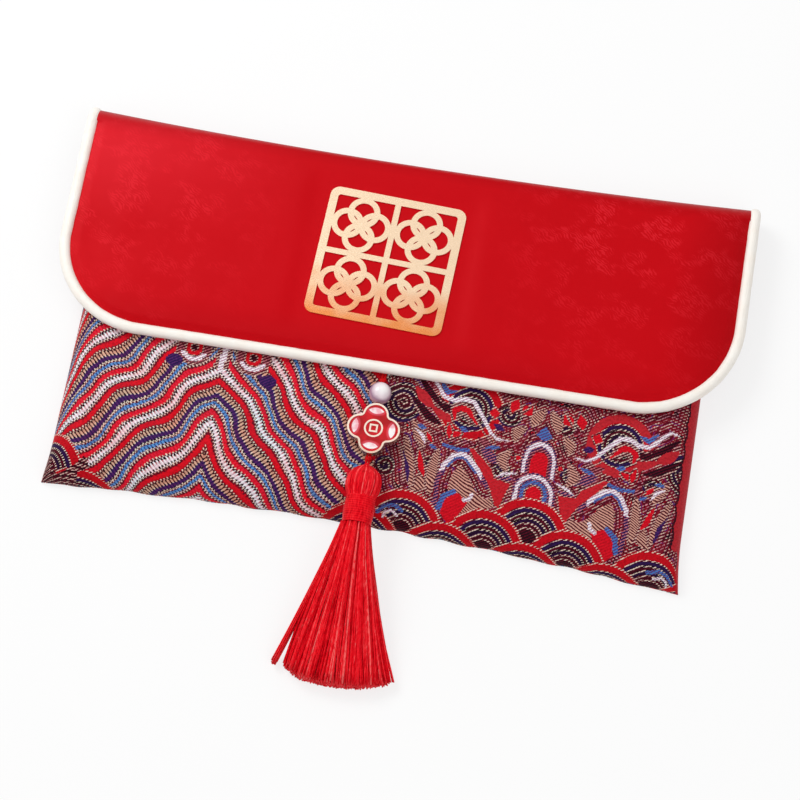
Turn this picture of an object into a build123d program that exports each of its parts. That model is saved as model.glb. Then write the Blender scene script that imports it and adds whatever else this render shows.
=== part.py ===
from build123d import *
import os
from math import cos, radians, sin, sqrt

# A cloth gift envelope lying on its back, in millimetres.
# +X runs along the fold, +Y towards the fold, +Z out of the front.
# The origin is the middle of the back face, on the surface the envelope lies on.

# Cloth layers, from the outside of a wall to its inside
OUTER_CLOTH = 0.5
INTERLINING = 0.8
LINING_CLOTH = 0.3
LAYER_GAP = 0.02

# Pouch
ENVELOPE_HEIGHT = 108.0
POUCH_WIDTH = 168.6
CORNER_FLARE = 1.0
FLARE_HEIGHT = 14.0
BOTTOM_DRAW = 3.6
POCKET_DEPTH = 4.5
SIDE_SHOULDER = 8.0
BOTTOM_SHOULDER = 14.0
SHOULDER_TURN_SHARES = (0.28, 0.54, 0.78, 1.0)
MOUTH_DROP = 11.0
SEAM_TAIL = 9.0
SEAM_CLEARANCE = 1.2

# Flap and its piping
FLAP_WIDTH = 186.4
FLAP_DROP = 65.7
FLAP_CORNER_LEFT = 22.0
FLAP_CORNER_RIGHT = 30.0
PIPING_DIAMETER = 3.0
PIPING_WALL = 0.5
FLANGE_WIDTH = 5.0
FLANGE_THICKNESS = 0.4
FOLD_PIPING_ANGLE = 120.0
REST_GAP = 0.25

# Closing magnets
MAGNET_DIAMETER = 10.0
MAGNET_CLEARANCE = 0.15
MAGNET_RISE = 13.0

# Cut plaque
PLAQUE_SIDE = 37.5
PLAQUE_BAR = 2.2
PLAQUE_CORNER = 2.6
PLAQUE_INNER_CORNER = 0.8
PLAQUE_THICKNESS = 0.4
PLAQUE_SHIFT = -5.0
PLAQUE_DROP = 33.0
PLAQUE_TILT = -2.4
LATTICE_BAR = 1.6
LATTICE_BITE = 0.3
RING_RADIUS_SHARE = 0.56

# Hanging cord and pearl
STRAND_DIAMETER = 0.7
STRAND_BEND = 0.4
ANCHOR_LENGTH = 9.0
KNOT_DIAMETER = 2.0
KNOT_GAP = 0.25
PEARL_DIAMETER = 6.0
BORE_CLEARANCE = 0.1
BEAD_CLEARANCE = 0.3
LINK_GAP = 0.3

# Charm
LOBE_RADIUS = 3.4
LOBE_OFFSET = 3.6
LOBE_NOTCH = 0.8
CHARM_THICKNESS = 2.6
RIM_WIDTH = 0.5
RECESS_DEPTH = 0.5
ENAMEL_DROP = 0.12
MOTIF_RADIUS = 2.5
MOTIF_LINE = 0.45
MOTIF_SQUARE = 2.2
PETAL_LENGTH = 4.0
PETAL_WIDTH = 1.7
PETAL_OFFSET = 4.9

# Tassel
TAIL_LENGTH = 2.1
TASSEL_GAP = 0.6
HEAD_WIDTH = 9.2
HEAD_THICKNESS = 6.8
HEAD_LENGTH = 8.8
HEAD_RUN_SHARES = (0.0, 0.1, 0.3, 0.6, 0.88, 1.0)
HEAD_SIZE_SHARES = (0.12, 0.52, 0.88, 1.0, 0.93, 0.8)
BAND_WIDTH = 8.0
BAND_THICKNESS = 6.2
BAND_WALL = 0.4
BAND_LENGTH = 7.6
SLICE_LENGTH = 1.0
SKIRT_LENGTH = 41.8
SKIRT_SPREAD = 31.0
SKIRT_END_THICKNESS = 5.0
SKIRT_END_ARC = 3.0
FLOOR_GAP = 0.1
STRAND_COLUMNS = 31
STRAND_ROWS = 13
STRAND_FILL_SHARE = 0.72
SKIRT_RUN_SHARES = (0.0, 0.2, 0.6, 1.0)
SKIRT_SPREAD_SHARES = (0.0, 0.15, 0.56, 1.0)
SKIRT_FALL_SHARES = (0.0, 0.1, 0.52, 1.0)

# Spare length on a cutting shape, and the quarter turn
OVERRUN = 1.0
QUARTER_TURN = 90.0
UP = (0, 0, 1)
DOWN_PAGE = (0, -1)

# Heights
WALL = OUTER_CLOTH + INTERLINING + LINING_CLOTH
FRONT_TOP = 2 * WALL + POCKET_DEPTH
FLAP_LOW = FRONT_TOP + REST_GAP + max(PIPING_DIAMETER - WALL, 0) / 2
FLAP_TOP = FLAP_LOW + WALL
FLAP_MID = FLAP_LOW + WALL / 2
HINGE_Z = FLAP_TOP / 2
LOOP_Z = (FRONT_TOP + FLAP_LOW) / 2
KNOT_Z = LOOP_Z + (KNOT_DIAMETER + STRAND_DIAMETER) / 2 + BORE_CLEARANCE
CHAIN_Z = FRONT_TOP + BEAD_CLEARANCE + PEARL_DIAMETER / 2

# Stations along Y, from the fold down to the tassel
TOP_Y = ENVELOPE_HEIGHT / 2
BOTTOM_Y = -ENVELOPE_HEIGHT / 2
HINGE_Y = TOP_Y - HINGE_Z
MOUTH_Y = HINGE_Y - MOUTH_DROP
FLAP_BOTTOM_Y = TOP_Y - FLAP_DROP
MAGNET_Y = FLAP_BOTTOM_Y + MAGNET_RISE
KNOT_Y = FLAP_BOTTOM_Y - KNOT_DIAMETER / 2 - KNOT_GAP
KNOT_TO_PEARL = (KNOT_DIAMETER + PEARL_DIAMETER) / 2 + BORE_CLEARANCE
PEARL_Y = KNOT_Y - sqrt(KNOT_TO_PEARL**2 - (CHAIN_Z - KNOT_Z) ** 2)
CHARM_REACH = LOBE_OFFSET + LOBE_RADIUS
CHARM_TOP_Y = PEARL_Y - PEARL_DIAMETER / 2 - LINK_GAP
CHARM_Y = CHARM_TOP_Y - CHARM_REACH
CHARM_LOW_Y = CHARM_Y - CHARM_REACH
TAIL_TOP_Y = CHARM_LOW_Y - LINK_GAP
TAIL_LOW_Y = TAIL_TOP_Y - TAIL_LENGTH
HEAD_TOP_Y = TAIL_LOW_Y - TASSEL_GAP
BAND_TOP_Y = HEAD_TOP_Y - HEAD_LENGTH
SKIRT_TOP_Y = BAND_TOP_Y - BAND_LENGTH

# The doubled cord and the bore that takes it
STRAND_PITCH = STRAND_DIAMETER + LAYER_GAP
BORE_RADIUS = (STRAND_PITCH + STRAND_DIAMETER) / 2 + BORE_CLEARANCE

# Where the moving pieces turn
FOLD_PIVOT = (0, HINGE_Y, HINGE_Z)
LIFT_PIVOT = (0, KNOT_Y, KNOT_Z)
PEARL_PIVOT = (0, PEARL_Y, CHAIN_Z)
CHARM_PIVOT = (0, CHARM_TOP_Y + LINK_GAP / 2, CHAIN_Z)
TAIL_PIVOT = (0, CHARM_LOW_Y - LINK_GAP / 2, CHAIN_Z)
TASSEL_PIVOT = (0, HEAD_TOP_Y + TASSEL_GAP / 2, CHAIN_Z)


def pouch_outline(side_inset, bottom_inset, top_y):
    """Plan of the pouch, drawn in: straight sides, flared corners, a bottom edge bowed upwards."""
    half = POUCH_WIDTH / 2 - side_inset
    tip = half + CORNER_FLARE
    low = BOTTOM_Y + bottom_inset
    flare = low + FLARE_HEIGHT
    right_side = Line((half, top_y), (half, flare))
    right_flare = TangentArc((half, flare), (tip, low), tangent=DOWN_PAGE)
    bottom = ThreePointArc((tip, low), (0, low + BOTTOM_DRAW), (-tip, low))
    left_flare = TangentArc((-half, flare), (-tip, low), tangent=DOWN_PAGE)
    left_side = Line((-half, flare), (-half, top_y))
    top = Line((-half, top_y), (half, top_y))
    return Wire([right_side, right_flare, bottom, left_flare, left_side, top])


def pouch_sheet(inset, top_y, low_z, thickness):
    """One flat layer of the back wall."""
    plan = Face(pouch_outline(inset, inset, top_y))
    return extrude(Pos(0, 0, low_z) * plan, amount=thickness, dir=UP)


def pillow(inset, mouth_y, sink):
    """The volume under one layer of the front; sink lengthens a cutter below the seam."""
    rise = FRONT_TOP - OUTER_CLOTH - inset
    foot = pouch_outline(inset, inset, mouth_y)
    sections = [Pos(0, 0, OUTER_CLOTH) * foot]
    if sink > 0:
        sections.insert(0, Pos(0, 0, OUTER_CLOTH - sink) * foot)
    for share in SHOULDER_TURN_SHARES:
        turn = radians(QUARTER_TURN * share)
        side_edge = inset + (SIDE_SHOULDER - inset) * (1 - cos(turn))
        bottom_edge = inset + (BOTTOM_SHOULDER - inset) * (1 - cos(turn))
        level = OUTER_CLOTH + rise * sin(turn)
        sections.append(Pos(0, 0, level) * pouch_outline(side_edge, bottom_edge, mouth_y))
    return Solid.make_loft(sections, ruled=True)


def back_panel():
    return pouch_sheet(0, HINGE_Y, 0, OUTER_CLOTH)


def back_interlining():
    return pouch_sheet(WALL + SEAM_CLEARANCE, HINGE_Y - SEAM_TAIL, OUTER_CLOTH, INTERLINING)


def back_lining():
    return pouch_sheet(WALL + SEAM_CLEARANCE, HINGE_Y, OUTER_CLOTH + INTERLINING, LINING_CLOTH)


def front_panel():
    """Brocade of the front, with its hem turned in over the end of the interlining."""
    panel = pillow(0, MOUTH_Y, 0)
    panel = panel - pillow(OUTER_CLOTH, MOUTH_Y - OUTER_CLOTH, OVERRUN)
    return panel - pillow(OUTER_CLOTH + INTERLINING, MOUTH_Y + OVERRUN, OVERRUN)


def front_interlining():
    layer = pillow(OUTER_CLOTH + LAYER_GAP, MOUTH_Y - OUTER_CLOTH - LAYER_GAP, 0)
    layer = layer - pillow(OUTER_CLOTH + INTERLINING, MOUTH_Y, OVERRUN)
    return layer - magnet_pocket(FRONT_TOP - OUTER_CLOTH - INTERLINING / 2)


def front_lining():
    layer = pillow(OUTER_CLOTH + INTERLINING + LAYER_GAP, MOUTH_Y, 0)
    return layer - pillow(WALL, MOUTH_Y + OVERRUN, OVERRUN)


def magnet_pocket(mid_z):
    """Hole in an interlining that holds a closing magnet."""
    radius = MAGNET_DIAMETER / 2 + MAGNET_CLEARANCE
    return Pos(0, MAGNET_Y, mid_z) * Cylinder(radius, INTERLINING + OVERRUN)


def magnet(mid_z):
    return Pos(0, MAGNET_Y, mid_z) * Cylinder(MAGNET_DIAMETER / 2, INTERLINING - 2 * LAYER_GAP)


def fold_ring(outer_radius, thickness):
    """Half tube of cloth round the fold, from the back wall over to the flap."""
    width = FLAP_WIDTH - 2 * PIPING_DIAMETER
    tube = Cylinder(outer_radius, width) - Cylinder(outer_radius - thickness, width)
    tube = Pos(*FOLD_PIVOT) * Rot(0, QUARTER_TURN, 0) * tube
    return split(tube, bisect_by=Plane(origin=FOLD_PIVOT, z_dir=(0, 1, 0)), keep=Keep.TOP)


def fold_satin():
    return fold_ring(HINGE_Z, OUTER_CLOTH)


def fold_lining():
    return fold_ring(HINGE_Z - OUTER_CLOTH - INTERLINING, LINING_CLOTH)


def fold_piping():
    """Ends of the piping, carried round the fold on both sides."""
    ends = Part()
    axis = Axis(FOLD_PIVOT, (-1, 0, 0))
    for side in (-1, 1):
        spot = (side * (FLAP_WIDTH - PIPING_DIAMETER) / 2, HINGE_Y, FLAP_MID)
        disc = Plane(origin=spot, z_dir=(0, 1, 0)) * Circle(PIPING_DIAMETER / 2)
        ends += revolve(disc, axis=axis, revolution_arc=FOLD_PIPING_ANGLE)
    return ends


def flap_path(inset):
    """The flap's three free edges, drawn in by inset."""
    half = FLAP_WIDTH / 2 - inset
    low = FLAP_BOTTOM_Y + inset
    corners = ((-half, HINGE_Y), (-half, low), (half, low), (half, HINGE_Y))
    return FilletPolyline(*corners, radius=(FLAP_CORNER_LEFT - inset, FLAP_CORNER_RIGHT - inset))


def flap_face(inset):
    edges = flap_path(inset)
    return Face(Wire(edges.edges() + [Line(edges @ 1, edges @ 0)]))


def flap_sheet(inset, low_z, thickness):
    return extrude(Pos(0, 0, low_z) * flap_face(inset), amount=thickness, dir=UP)


def flap_satin():
    return flap_sheet(PIPING_DIAMETER, FLAP_TOP - OUTER_CLOTH, OUTER_CLOTH)


def flap_interlining():
    inset = PIPING_DIAMETER + FLANGE_WIDTH + LAYER_GAP
    layer = flap_sheet(inset, FLAP_LOW + LINING_CLOTH, INTERLINING)
    return layer - magnet_pocket(FLAP_LOW + LINING_CLOTH + INTERLINING / 2)


def flap_lining():
    return flap_sheet(PIPING_DIAMETER, FLAP_LOW, LINING_CLOTH)


def piping_rod(diameter):
    path = Pos(0, 0, FLAP_MID) * flap_path(PIPING_DIAMETER / 2)
    disc = Plane(origin=path @ 0, z_dir=path % 0) * Circle(diameter / 2)
    return sweep(disc, path=path)


def loop_channel():
    """Dent in the underside of the piping where the hanging cord passes below it."""
    width = STRAND_PITCH + STRAND_DIAMETER + 2 * BORE_CLEARANCE
    top = LOOP_Z + STRAND_DIAMETER / 2 + BORE_CLEARANCE
    height = top - FRONT_TOP + OVERRUN
    middle_y = FLAP_BOTTOM_Y + PIPING_DIAMETER / 2
    return Pos(0, middle_y, top - height / 2) * Box(width, PIPING_DIAMETER + OVERRUN, height)


def piping_cover():
    """Bias strip round the core, with the flange that is sewn in between satin and lining."""
    tube = piping_rod(PIPING_DIAMETER) - piping_rod(PIPING_DIAMETER - 2 * PIPING_WALL)
    low = FLAP_LOW + LINING_CLOTH + (INTERLINING - FLANGE_THICKNESS) / 2
    flange = flap_sheet(PIPING_DIAMETER - PIPING_WALL / 2, low, FLANGE_THICKNESS)
    inner = flap_sheet(PIPING_DIAMETER + FLANGE_WIDTH, low - OVERRUN, FLANGE_THICKNESS + 2 * OVERRUN)
    return tube + (flange - inner) - loop_channel()


def piping_core():
    return piping_rod(PIPING_DIAMETER - 2 * PIPING_WALL - 2 * LAYER_GAP) - loop_channel()


def lattice_rings(clear):
    """Four interlaced rings that fill one quarter of the plaque's window."""
    radius = RING_RADIUS_SHARE * clear / 2
    offset = clear / 2 + LATTICE_BITE - radius
    ring = Circle(radius) - Circle(radius - LATTICE_BAR)
    return Sketch() + [Rot(0, 0, turn * QUARTER_TURN) * Pos(offset, 0) * ring for turn in range(4)]


def seal_plaque():
    """Square gold sheet cut right through: a frame, a cross and rings that touch both."""
    window = PLAQUE_SIDE - 2 * PLAQUE_BAR
    outer = RectangleRounded(PLAQUE_SIDE, PLAQUE_SIDE, PLAQUE_CORNER)
    lattice = outer - RectangleRounded(window, window, PLAQUE_INNER_CORNER)
    span = window + PLAQUE_BAR
    lattice = lattice + Rectangle(span, LATTICE_BAR) + Rectangle(LATTICE_BAR, span)
    clear = (window - LATTICE_BAR) / 2
    middle = (clear + LATTICE_BAR) / 2
    rings = lattice_rings(clear)
    for side_x in (-1, 1):
        for side_y in (-1, 1):
            lattice = lattice + Pos(side_x * middle, side_y * middle) * rings
    place = Pos(PLAQUE_SHIFT, TOP_Y - PLAQUE_DROP, FLAP_TOP) * Rot(0, 0, PLAQUE_TILT)
    return place * extrude(lattice, amount=PLAQUE_THICKNESS, dir=UP)


def strand(points):
    """One strand of cord along straight runs with small bends."""
    if len(points) > 2:
        path = FilletPolyline(*points, radius=STRAND_BEND)
    else:
        path = Line(*points)
    disc = Plane(origin=path @ 0, z_dir=path % 0) * Circle(STRAND_DIAMETER / 2)
    return sweep(disc, path=path)


def doubled_cord(stations):
    """Two strands side by side through stations given as (y, z)."""
    cord = Part()
    for side in (-1, 1):
        x = side * STRAND_PITCH / 2
        cord += strand([(x, y, z) for y, z in stations])
    return cord


def loop_anchor():
    """End of the hanging cord under the flap's lining, up to the stopper knot."""
    return doubled_cord([(KNOT_Y + ANCHOR_LENGTH, LOOP_Z), (KNOT_Y, LOOP_Z)])


def loop_cord():
    """Stopper knot and the doubled cord from it through the pearl."""
    bend_y = PEARL_Y + PEARL_DIAMETER / 2 + BORE_CLEARANCE
    end_y = PEARL_Y - PEARL_DIAMETER / 2
    cord = doubled_cord([(KNOT_Y, KNOT_Z), (bend_y, CHAIN_Z), (end_y, CHAIN_Z)])
    return cord + Pos(*LIFT_PIVOT) * Sphere(KNOT_DIAMETER / 2)


def bore(length, middle_y):
    """Cutter for the cord's way through a bead."""
    return Pos(0, middle_y, CHAIN_Z) * Rot(QUARTER_TURN, 0, 0) * Cylinder(BORE_RADIUS, length)


def pearl_bead():
    return Pos(*PEARL_PIVOT) * Sphere(PEARL_DIAMETER / 2) - bore(PEARL_DIAMETER + OVERRUN, PEARL_Y)


def lobed_face(inset):
    """Four-lobed outline of the charm, drawn in by inset."""
    side = LOBE_OFFSET * sqrt(2)
    face = Sketch() + Rot(0, 0, QUARTER_TURN / 2) * Rectangle(side, side)
    for turn in range(4):
        face = face + Rot(0, 0, turn * QUARTER_TURN) * Pos(LOBE_OFFSET, 0) * Circle(LOBE_RADIUS - inset)
    return fillet(face.vertices(), LOBE_NOTCH + inset)


def petal_faces(grow):
    """Four lens shapes, one in each lobe, lying across the lobe."""
    half = PETAL_LENGTH / 2
    sag = PETAL_WIDTH / 2
    radius = (half**2 + sag**2) / (2 * sag)
    reach = radius - sag
    lens = (Pos(-reach, 0) * Circle(radius + grow)) & (Pos(reach, 0) * Circle(radius + grow))
    return Sketch() + [Rot(0, 0, turn * QUARTER_TURN) * Pos(PETAL_OFFSET, 0) * lens for turn in range(4)]


def motif_face(grow):
    """A ring round a square ring, in thin raised lines."""
    ring = Circle(MOTIF_RADIUS + grow) - Circle(MOTIF_RADIUS - MOTIF_LINE - grow)
    outer = MOTIF_SQUARE + 2 * grow
    inner = MOTIF_SQUARE - 2 * MOTIF_LINE - 2 * grow
    return ring + (Rectangle(outer, outer) - Rectangle(inner, inner))


def charm_layer(face, low_z, height):
    return Pos(0, CHARM_Y, low_z) * extrude(face, amount=height, dir=UP)


def charm_body():
    """Metal body with a raised rim and the bore for the cord."""
    low = CHAIN_Z - CHARM_THICKNESS / 2
    body = charm_layer(lobed_face(0), low, CHARM_THICKNESS)
    floor_z = low + CHARM_THICKNESS - RECESS_DEPTH
    body = body - charm_layer(lobed_face(RIM_WIDTH), floor_z, RECESS_DEPTH + OVERRUN)
    return body - bore(2 * CHARM_REACH + OVERRUN, CHARM_Y)


def charm_floor():
    return CHAIN_Z + CHARM_THICKNESS / 2 - RECESS_DEPTH


def charm_enamel():
    fill = lobed_face(RIM_WIDTH + LAYER_GAP) - petal_faces(LAYER_GAP) - motif_face(LAYER_GAP)
    return charm_layer(fill, charm_floor(), RECESS_DEPTH - ENAMEL_DROP)


def charm_petals():
    return charm_layer(petal_faces(0), charm_floor(), RECESS_DEPTH - ENAMEL_DROP)


def charm_motif():
    return charm_layer(motif_face(0), charm_floor(), RECESS_DEPTH)


def charm_cord():
    return doubled_cord([(CHARM_TOP_Y, CHAIN_Z), (CHARM_LOW_Y, CHAIN_Z)])


def tail_cord():
    """Doubled cord with a knot, between the charm and the tassel."""
    cord = doubled_cord([(TAIL_TOP_Y, CHAIN_Z), (TAIL_LOW_Y, CHAIN_Z)])
    return cord + Pos(0, (TAIL_TOP_Y + TAIL_LOW_Y) / 2, CHAIN_Z) * Sphere(KNOT_DIAMETER / 2)


def tassel_oval(y, width, thickness):
    """Oval across the tassel, facing the way its threads run."""
    plane = Plane(origin=(0, y, CHAIN_Z), x_dir=(1, 0, 0), z_dir=(0, -1, 0))
    return plane * Ellipse(width / 2, thickness / 2)


def tassel_head():
    """Gathered head, with the neck that the band is wound on."""
    ovals = []
    for run, size in zip(HEAD_RUN_SHARES, HEAD_SIZE_SHARES):
        ovals.append(tassel_oval(HEAD_TOP_Y - run * HEAD_LENGTH, size * HEAD_WIDTH, size * HEAD_THICKNESS))
    neck = tassel_oval(BAND_TOP_Y, neck_width(), neck_thickness())
    return loft(ovals) + extrude(neck, amount=BAND_LENGTH)


def neck_width():
    return BAND_WIDTH - 2 * BAND_WALL - 2 * LAYER_GAP


def neck_thickness():
    return BAND_THICKNESS - 2 * BAND_WALL - 2 * LAYER_GAP


def tassel_band():
    """Sleeve of wound thread round the neck."""
    sleeve = extrude(tassel_oval(BAND_TOP_Y - LAYER_GAP, BAND_WIDTH, BAND_THICKNESS), amount=BAND_LENGTH)
    width = BAND_WIDTH - 2 * BAND_WALL
    thickness = BAND_THICKNESS - 2 * BAND_WALL
    return sleeve - extrude(tassel_oval(BAND_TOP_Y + OVERRUN, width, thickness), amount=BAND_LENGTH + 2 * OVERRUN)


def skirt_strand(across, over):
    """One loose thread bundle, four-sided; across and over place it in the oval."""
    end_z = SKIRT_END_THICKNESS / 2 + FLOOR_GAP
    length = SKIRT_LENGTH - SKIRT_END_ARC * across**2
    rings = []
    for run, spread, fall in zip(SKIRT_RUN_SHARES, SKIRT_SPREAD_SHARES, SKIRT_FALL_SHARES):
        width = neck_width() + spread * (SKIRT_SPREAD - neck_width())
        depth = neck_thickness() + spread * (SKIRT_END_THICKNESS - neck_thickness())
        half_x = STRAND_FILL_SHARE * width / STRAND_COLUMNS / 2
        half_z = STRAND_FILL_SHARE * depth / STRAND_ROWS / 2
        x = across * (width / 2 - half_x)
        z = CHAIN_Z + fall * (end_z - CHAIN_Z) + over * (depth / 2 - half_z)
        y = SKIRT_TOP_Y - SLICE_LENGTH / 2 - run * (length - SLICE_LENGTH / 2)
        low = [(x - half_x, y, z - half_z), (x + half_x, y, z - half_z)]
        high = [(x + half_x, y, z + half_z), (x - half_x, y, z + half_z)]
        rings.append(low + high)
    faces = [Face(Wire.make_polygon(rings[0])), Face(Wire.make_polygon(rings[-1]))]
    for first, second in zip(rings, rings[1:]):
        for corner in range(4):
            after = (corner + 1) % 4
            quad = [first[corner], first[after], second[after], second[corner]]
            faces.append(Face(Wire.make_polygon(quad)))
    return Solid(Shell(faces))


def tassel_skirt():
    """Slice that gathers the threads, with every thread bundle fused to it."""
    band = tassel_oval(SKIRT_TOP_Y, neck_width(), neck_thickness())
    gather = extrude(band, amount=SLICE_LENGTH)
    threads = []
    for column in range(STRAND_COLUMNS):
        for row in range(STRAND_ROWS):
            across = (2 * column + 1) / STRAND_COLUMNS - 1
            over = (2 * row + 1) / STRAND_ROWS - 1
            if across**2 + over**2 < 1:
                threads.append(skirt_strand(across, over))
    return gather.fuse(*threads)


def main():
    os.makedirs("parts", exist_ok=True)
    nodes = {
        "back_panel": back_panel(),
        "back_interlining": back_interlining(),
        "back_lining": back_lining(),
        "front_panel": front_panel(),
        "front_interlining": front_interlining(),
        "front_lining": front_lining(),
        "pouch_magnet": magnet(FRONT_TOP - OUTER_CLOTH - INTERLINING / 2),
        "fold_satin": fold_satin(),
        "fold_lining": fold_lining(),
        "fold_piping": fold_piping(),
        "flap_satin": flap_satin(),
        "flap_interlining": flap_interlining(),
        "flap_lining": flap_lining(),
        "flap_magnet": magnet(FLAP_LOW + LINING_CLOTH + INTERLINING / 2),
        "piping_cover": piping_cover(),
        "piping_core": piping_core(),
        "seal_plaque": seal_plaque(),
        "loop_anchor": loop_anchor(),
        "loop_cord": loop_cord(),
        "pearl_bead": pearl_bead(),
        "charm_body": charm_body(),
        "charm_enamel": charm_enamel(),
        "charm_petals": charm_petals(),
        "charm_motif": charm_motif(),
        "charm_cord": charm_cord(),
        "tail_cord": tail_cord(),
        "tassel_head": tassel_head(),
        "tassel_band": tassel_band(),
        "tassel_skirt": tassel_skirt(),
    }
    for name, shape in nodes.items():
        export_step(shape, f"parts/{name}.step")


if __name__ == "__main__":
    main()
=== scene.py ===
import math

import bpy
import numpy as np
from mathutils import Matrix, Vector


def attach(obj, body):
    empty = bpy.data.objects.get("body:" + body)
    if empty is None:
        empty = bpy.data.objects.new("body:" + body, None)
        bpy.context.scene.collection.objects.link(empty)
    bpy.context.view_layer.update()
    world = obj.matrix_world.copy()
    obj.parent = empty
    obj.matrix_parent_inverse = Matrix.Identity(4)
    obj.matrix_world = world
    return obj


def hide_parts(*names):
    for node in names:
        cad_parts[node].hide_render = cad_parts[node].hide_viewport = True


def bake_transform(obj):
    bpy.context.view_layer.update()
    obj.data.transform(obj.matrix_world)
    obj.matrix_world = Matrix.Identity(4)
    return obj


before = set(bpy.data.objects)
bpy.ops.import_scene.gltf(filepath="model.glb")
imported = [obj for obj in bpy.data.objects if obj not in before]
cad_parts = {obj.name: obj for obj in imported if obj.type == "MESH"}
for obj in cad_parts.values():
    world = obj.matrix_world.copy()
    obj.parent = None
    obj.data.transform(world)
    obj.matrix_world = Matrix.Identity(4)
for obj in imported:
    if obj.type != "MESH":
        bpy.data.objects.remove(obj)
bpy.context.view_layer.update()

# Sizes in millimetres. +X runs along the fold, +Y towards it, +Z out of the front. The flap's lower edge and
# corners, the drawn-in fold and the slant of the pouch's lower edge differ from the CAD model's.
MM = 0.001
TURN = 2 * np.pi
BOTTOM_Y, MOUTH_Y = -54.0, 37.875
HALF_WIDTH = 84.3
CORNER_FLARE, FLARE_HEIGHT = 1.0, 14.0
BOTTOM_DRAW, BOTTOM_SLANT = 3.6, 0.014
SIDE_SHOULDER, BOTTOM_SHOULDER = 8.0, 14.0
SEEN_HEIGHT = 31.0
CLOTH, FELT, LINING = 0.5, 0.8, 0.3
HEM = 4.0
FRONT_TOP, BACK_INSET = 7.7, 2.8
HINGE_Y, HINGE_Z = 48.875, 5.125
FLAP_HALF, FLAP_BOTTOM_Y = 93.2, -10.5
FLAP_LOW, FLAP_MID, FLAP_TOP = 8.65, 9.45, 10.25
CORNER_LEFT, CORNER_RIGHT = 26.0, 28.0
CLOTH_INSET, SEAM_INSET, FELT_INSET = 2.4, 3.0, 8.1
FOLD_DRAW, FOLD_REACH = 2.5, 90.0
PIPING_RADIUS, FILLER_RADIUS = 1.5, 0.95
PIPING_WRAP = math.radians(120)
PLAQUE_X, PLAQUE_Y = -5.0, 21.0
FLAT_TO, FLAT_FADE = 21.0, 26.0
CHAIN_Z = 11.0
KNOT_Y, KNOT_Z = -12.95, 9.625
LOOP_Z, LOOP_LENGTH = 8.175, 9.0
PEARL_Y = -16.813
PEARL_TOP_Y, PEARL_LOW_Y = PEARL_Y + 3.1, PEARL_Y - 3.0
CHARM_TOP_Y, CHARM_LOW_Y = -20.113, -34.113
PETAL_OFFSET, PETAL_FADE = 4.7, (1.3, 2.6)
TAIL_TOP_Y, TAIL_LOW_Y = -34.413, -36.513
CORD_GAP, CORD_LAY, CORD_PITCH = 0.36, 0.17, 1.6
STRAND_RADIUS, KNOT_RADIUS, KNOT_STRAND = 0.19, 0.74, 0.33
HEAD_TOP_Y, BAND_TOP_Y, SKIRT_TOP_Y = -37.113, -45.913, -53.513
HEAD_SIZE, HEAD_CORE, BAND_SIZE = (4.5, 3.3), (4.42, 3.22), (3.85, 2.95)
SKIRT_WIDTH, SKIRT_DEPTH = (7.4, 31.0), (5.5, 4.9)
SKIRT_LENGTH, STRAY_LENGTH = 41.6, 38.2


# Small tools

def ripple(x, y, size, seed, waves=8):
    """Smooth uneven height, about -1 to 1, with features of about the given size."""
    source = np.random.default_rng(seed)
    total = np.zeros(np.broadcast(x, y).shape)
    for _ in range(waves):
        turn = source.uniform(0, TURN)
        rate = TURN / size * source.uniform(0.6, 1.5)
        total = total + np.sin(rate * (x * np.cos(turn) + y * np.sin(turn)) + source.uniform(0, TURN))
    return total / math.sqrt(waves)


def smooth_step(low, high, value):
    share = np.clip((value - low) / (high - low), 0, 1)
    return share * share * (3 - 2 * share)


def unit(vectors):
    return vectors / np.linalg.norm(vectors, axis=-1, keepdims=True)


def run_along(points):
    """Length along a line of points, from 0."""
    return np.concatenate([[0], np.cumsum(np.linalg.norm(np.diff(points, axis=0), axis=1))])


def circle(sides):
    return TURN * np.arange(sides) / sides


def grid_faces(rows, columns, ring=False):
    """Quads of a grid of points, row by row. With ring, the last column joins the first."""
    last = columns if ring else columns - 1
    row, column = np.meshgrid(np.arange(rows - 1), np.arange(last), indexing="ij")
    after = (column + 1) % columns
    here, above = row * columns, (row + 1) * columns
    quads = (here + column, here + after, above + after, above + column)
    return np.stack([q.ravel() for q in quads], axis=1)


def make_piece(name, points, faces, finish, smooth=True):
    """A mesh object from points in millimetres."""
    mesh = bpy.data.meshes.new(name)
    places = np.asarray(points, float).reshape(-1, 3) * MM
    mesh.from_pydata(places.tolist(), [], [list(map(int, f)) for f in faces])
    mesh.validate()
    mesh.polygons.foreach_set("use_smooth", [smooth] * len(mesh.polygons))
    mesh.update()
    piece = bpy.data.objects.new(name, mesh)
    bpy.context.scene.collection.objects.link(piece)
    mesh.materials.append(finish)
    return piece


def add_values(piece, name, values, domain="POINT"):
    values = np.asarray(values, np.float32)
    kind, key = ("FLOAT_VECTOR", "vector") if values.ndim == 2 else ("FLOAT", "value")
    piece.data.attributes.new(name, kind, domain).data.foreach_set(key, values.ravel())


def flat_places(piece, along_x, along_y):
    """Where each point lies on the flat cloth, in millimetres, for its weave."""
    along_x, along_y = np.ravel(along_x), np.ravel(along_y)
    add_values(piece, "flat", np.stack([along_x, along_y, np.zeros_like(along_x)], axis=1))


def sheet_piece(name, points, flat_x, flat_y, finish, thickness=0.0, turned=False):
    """A sheet from a grid of points. Turned, it faces the other way. It thickens away from its face."""
    faces = grid_faces(*flat_x.shape)
    piece = make_piece(name, points, faces[:, ::-1] if turned else faces, finish)
    flat_places(piece, flat_x, flat_y)
    if thickness:
        solid = piece.modifiers.new("thickness", "SOLIDIFY")
        solid.thickness = thickness * MM
        solid.offset = -1.0
    return piece


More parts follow.
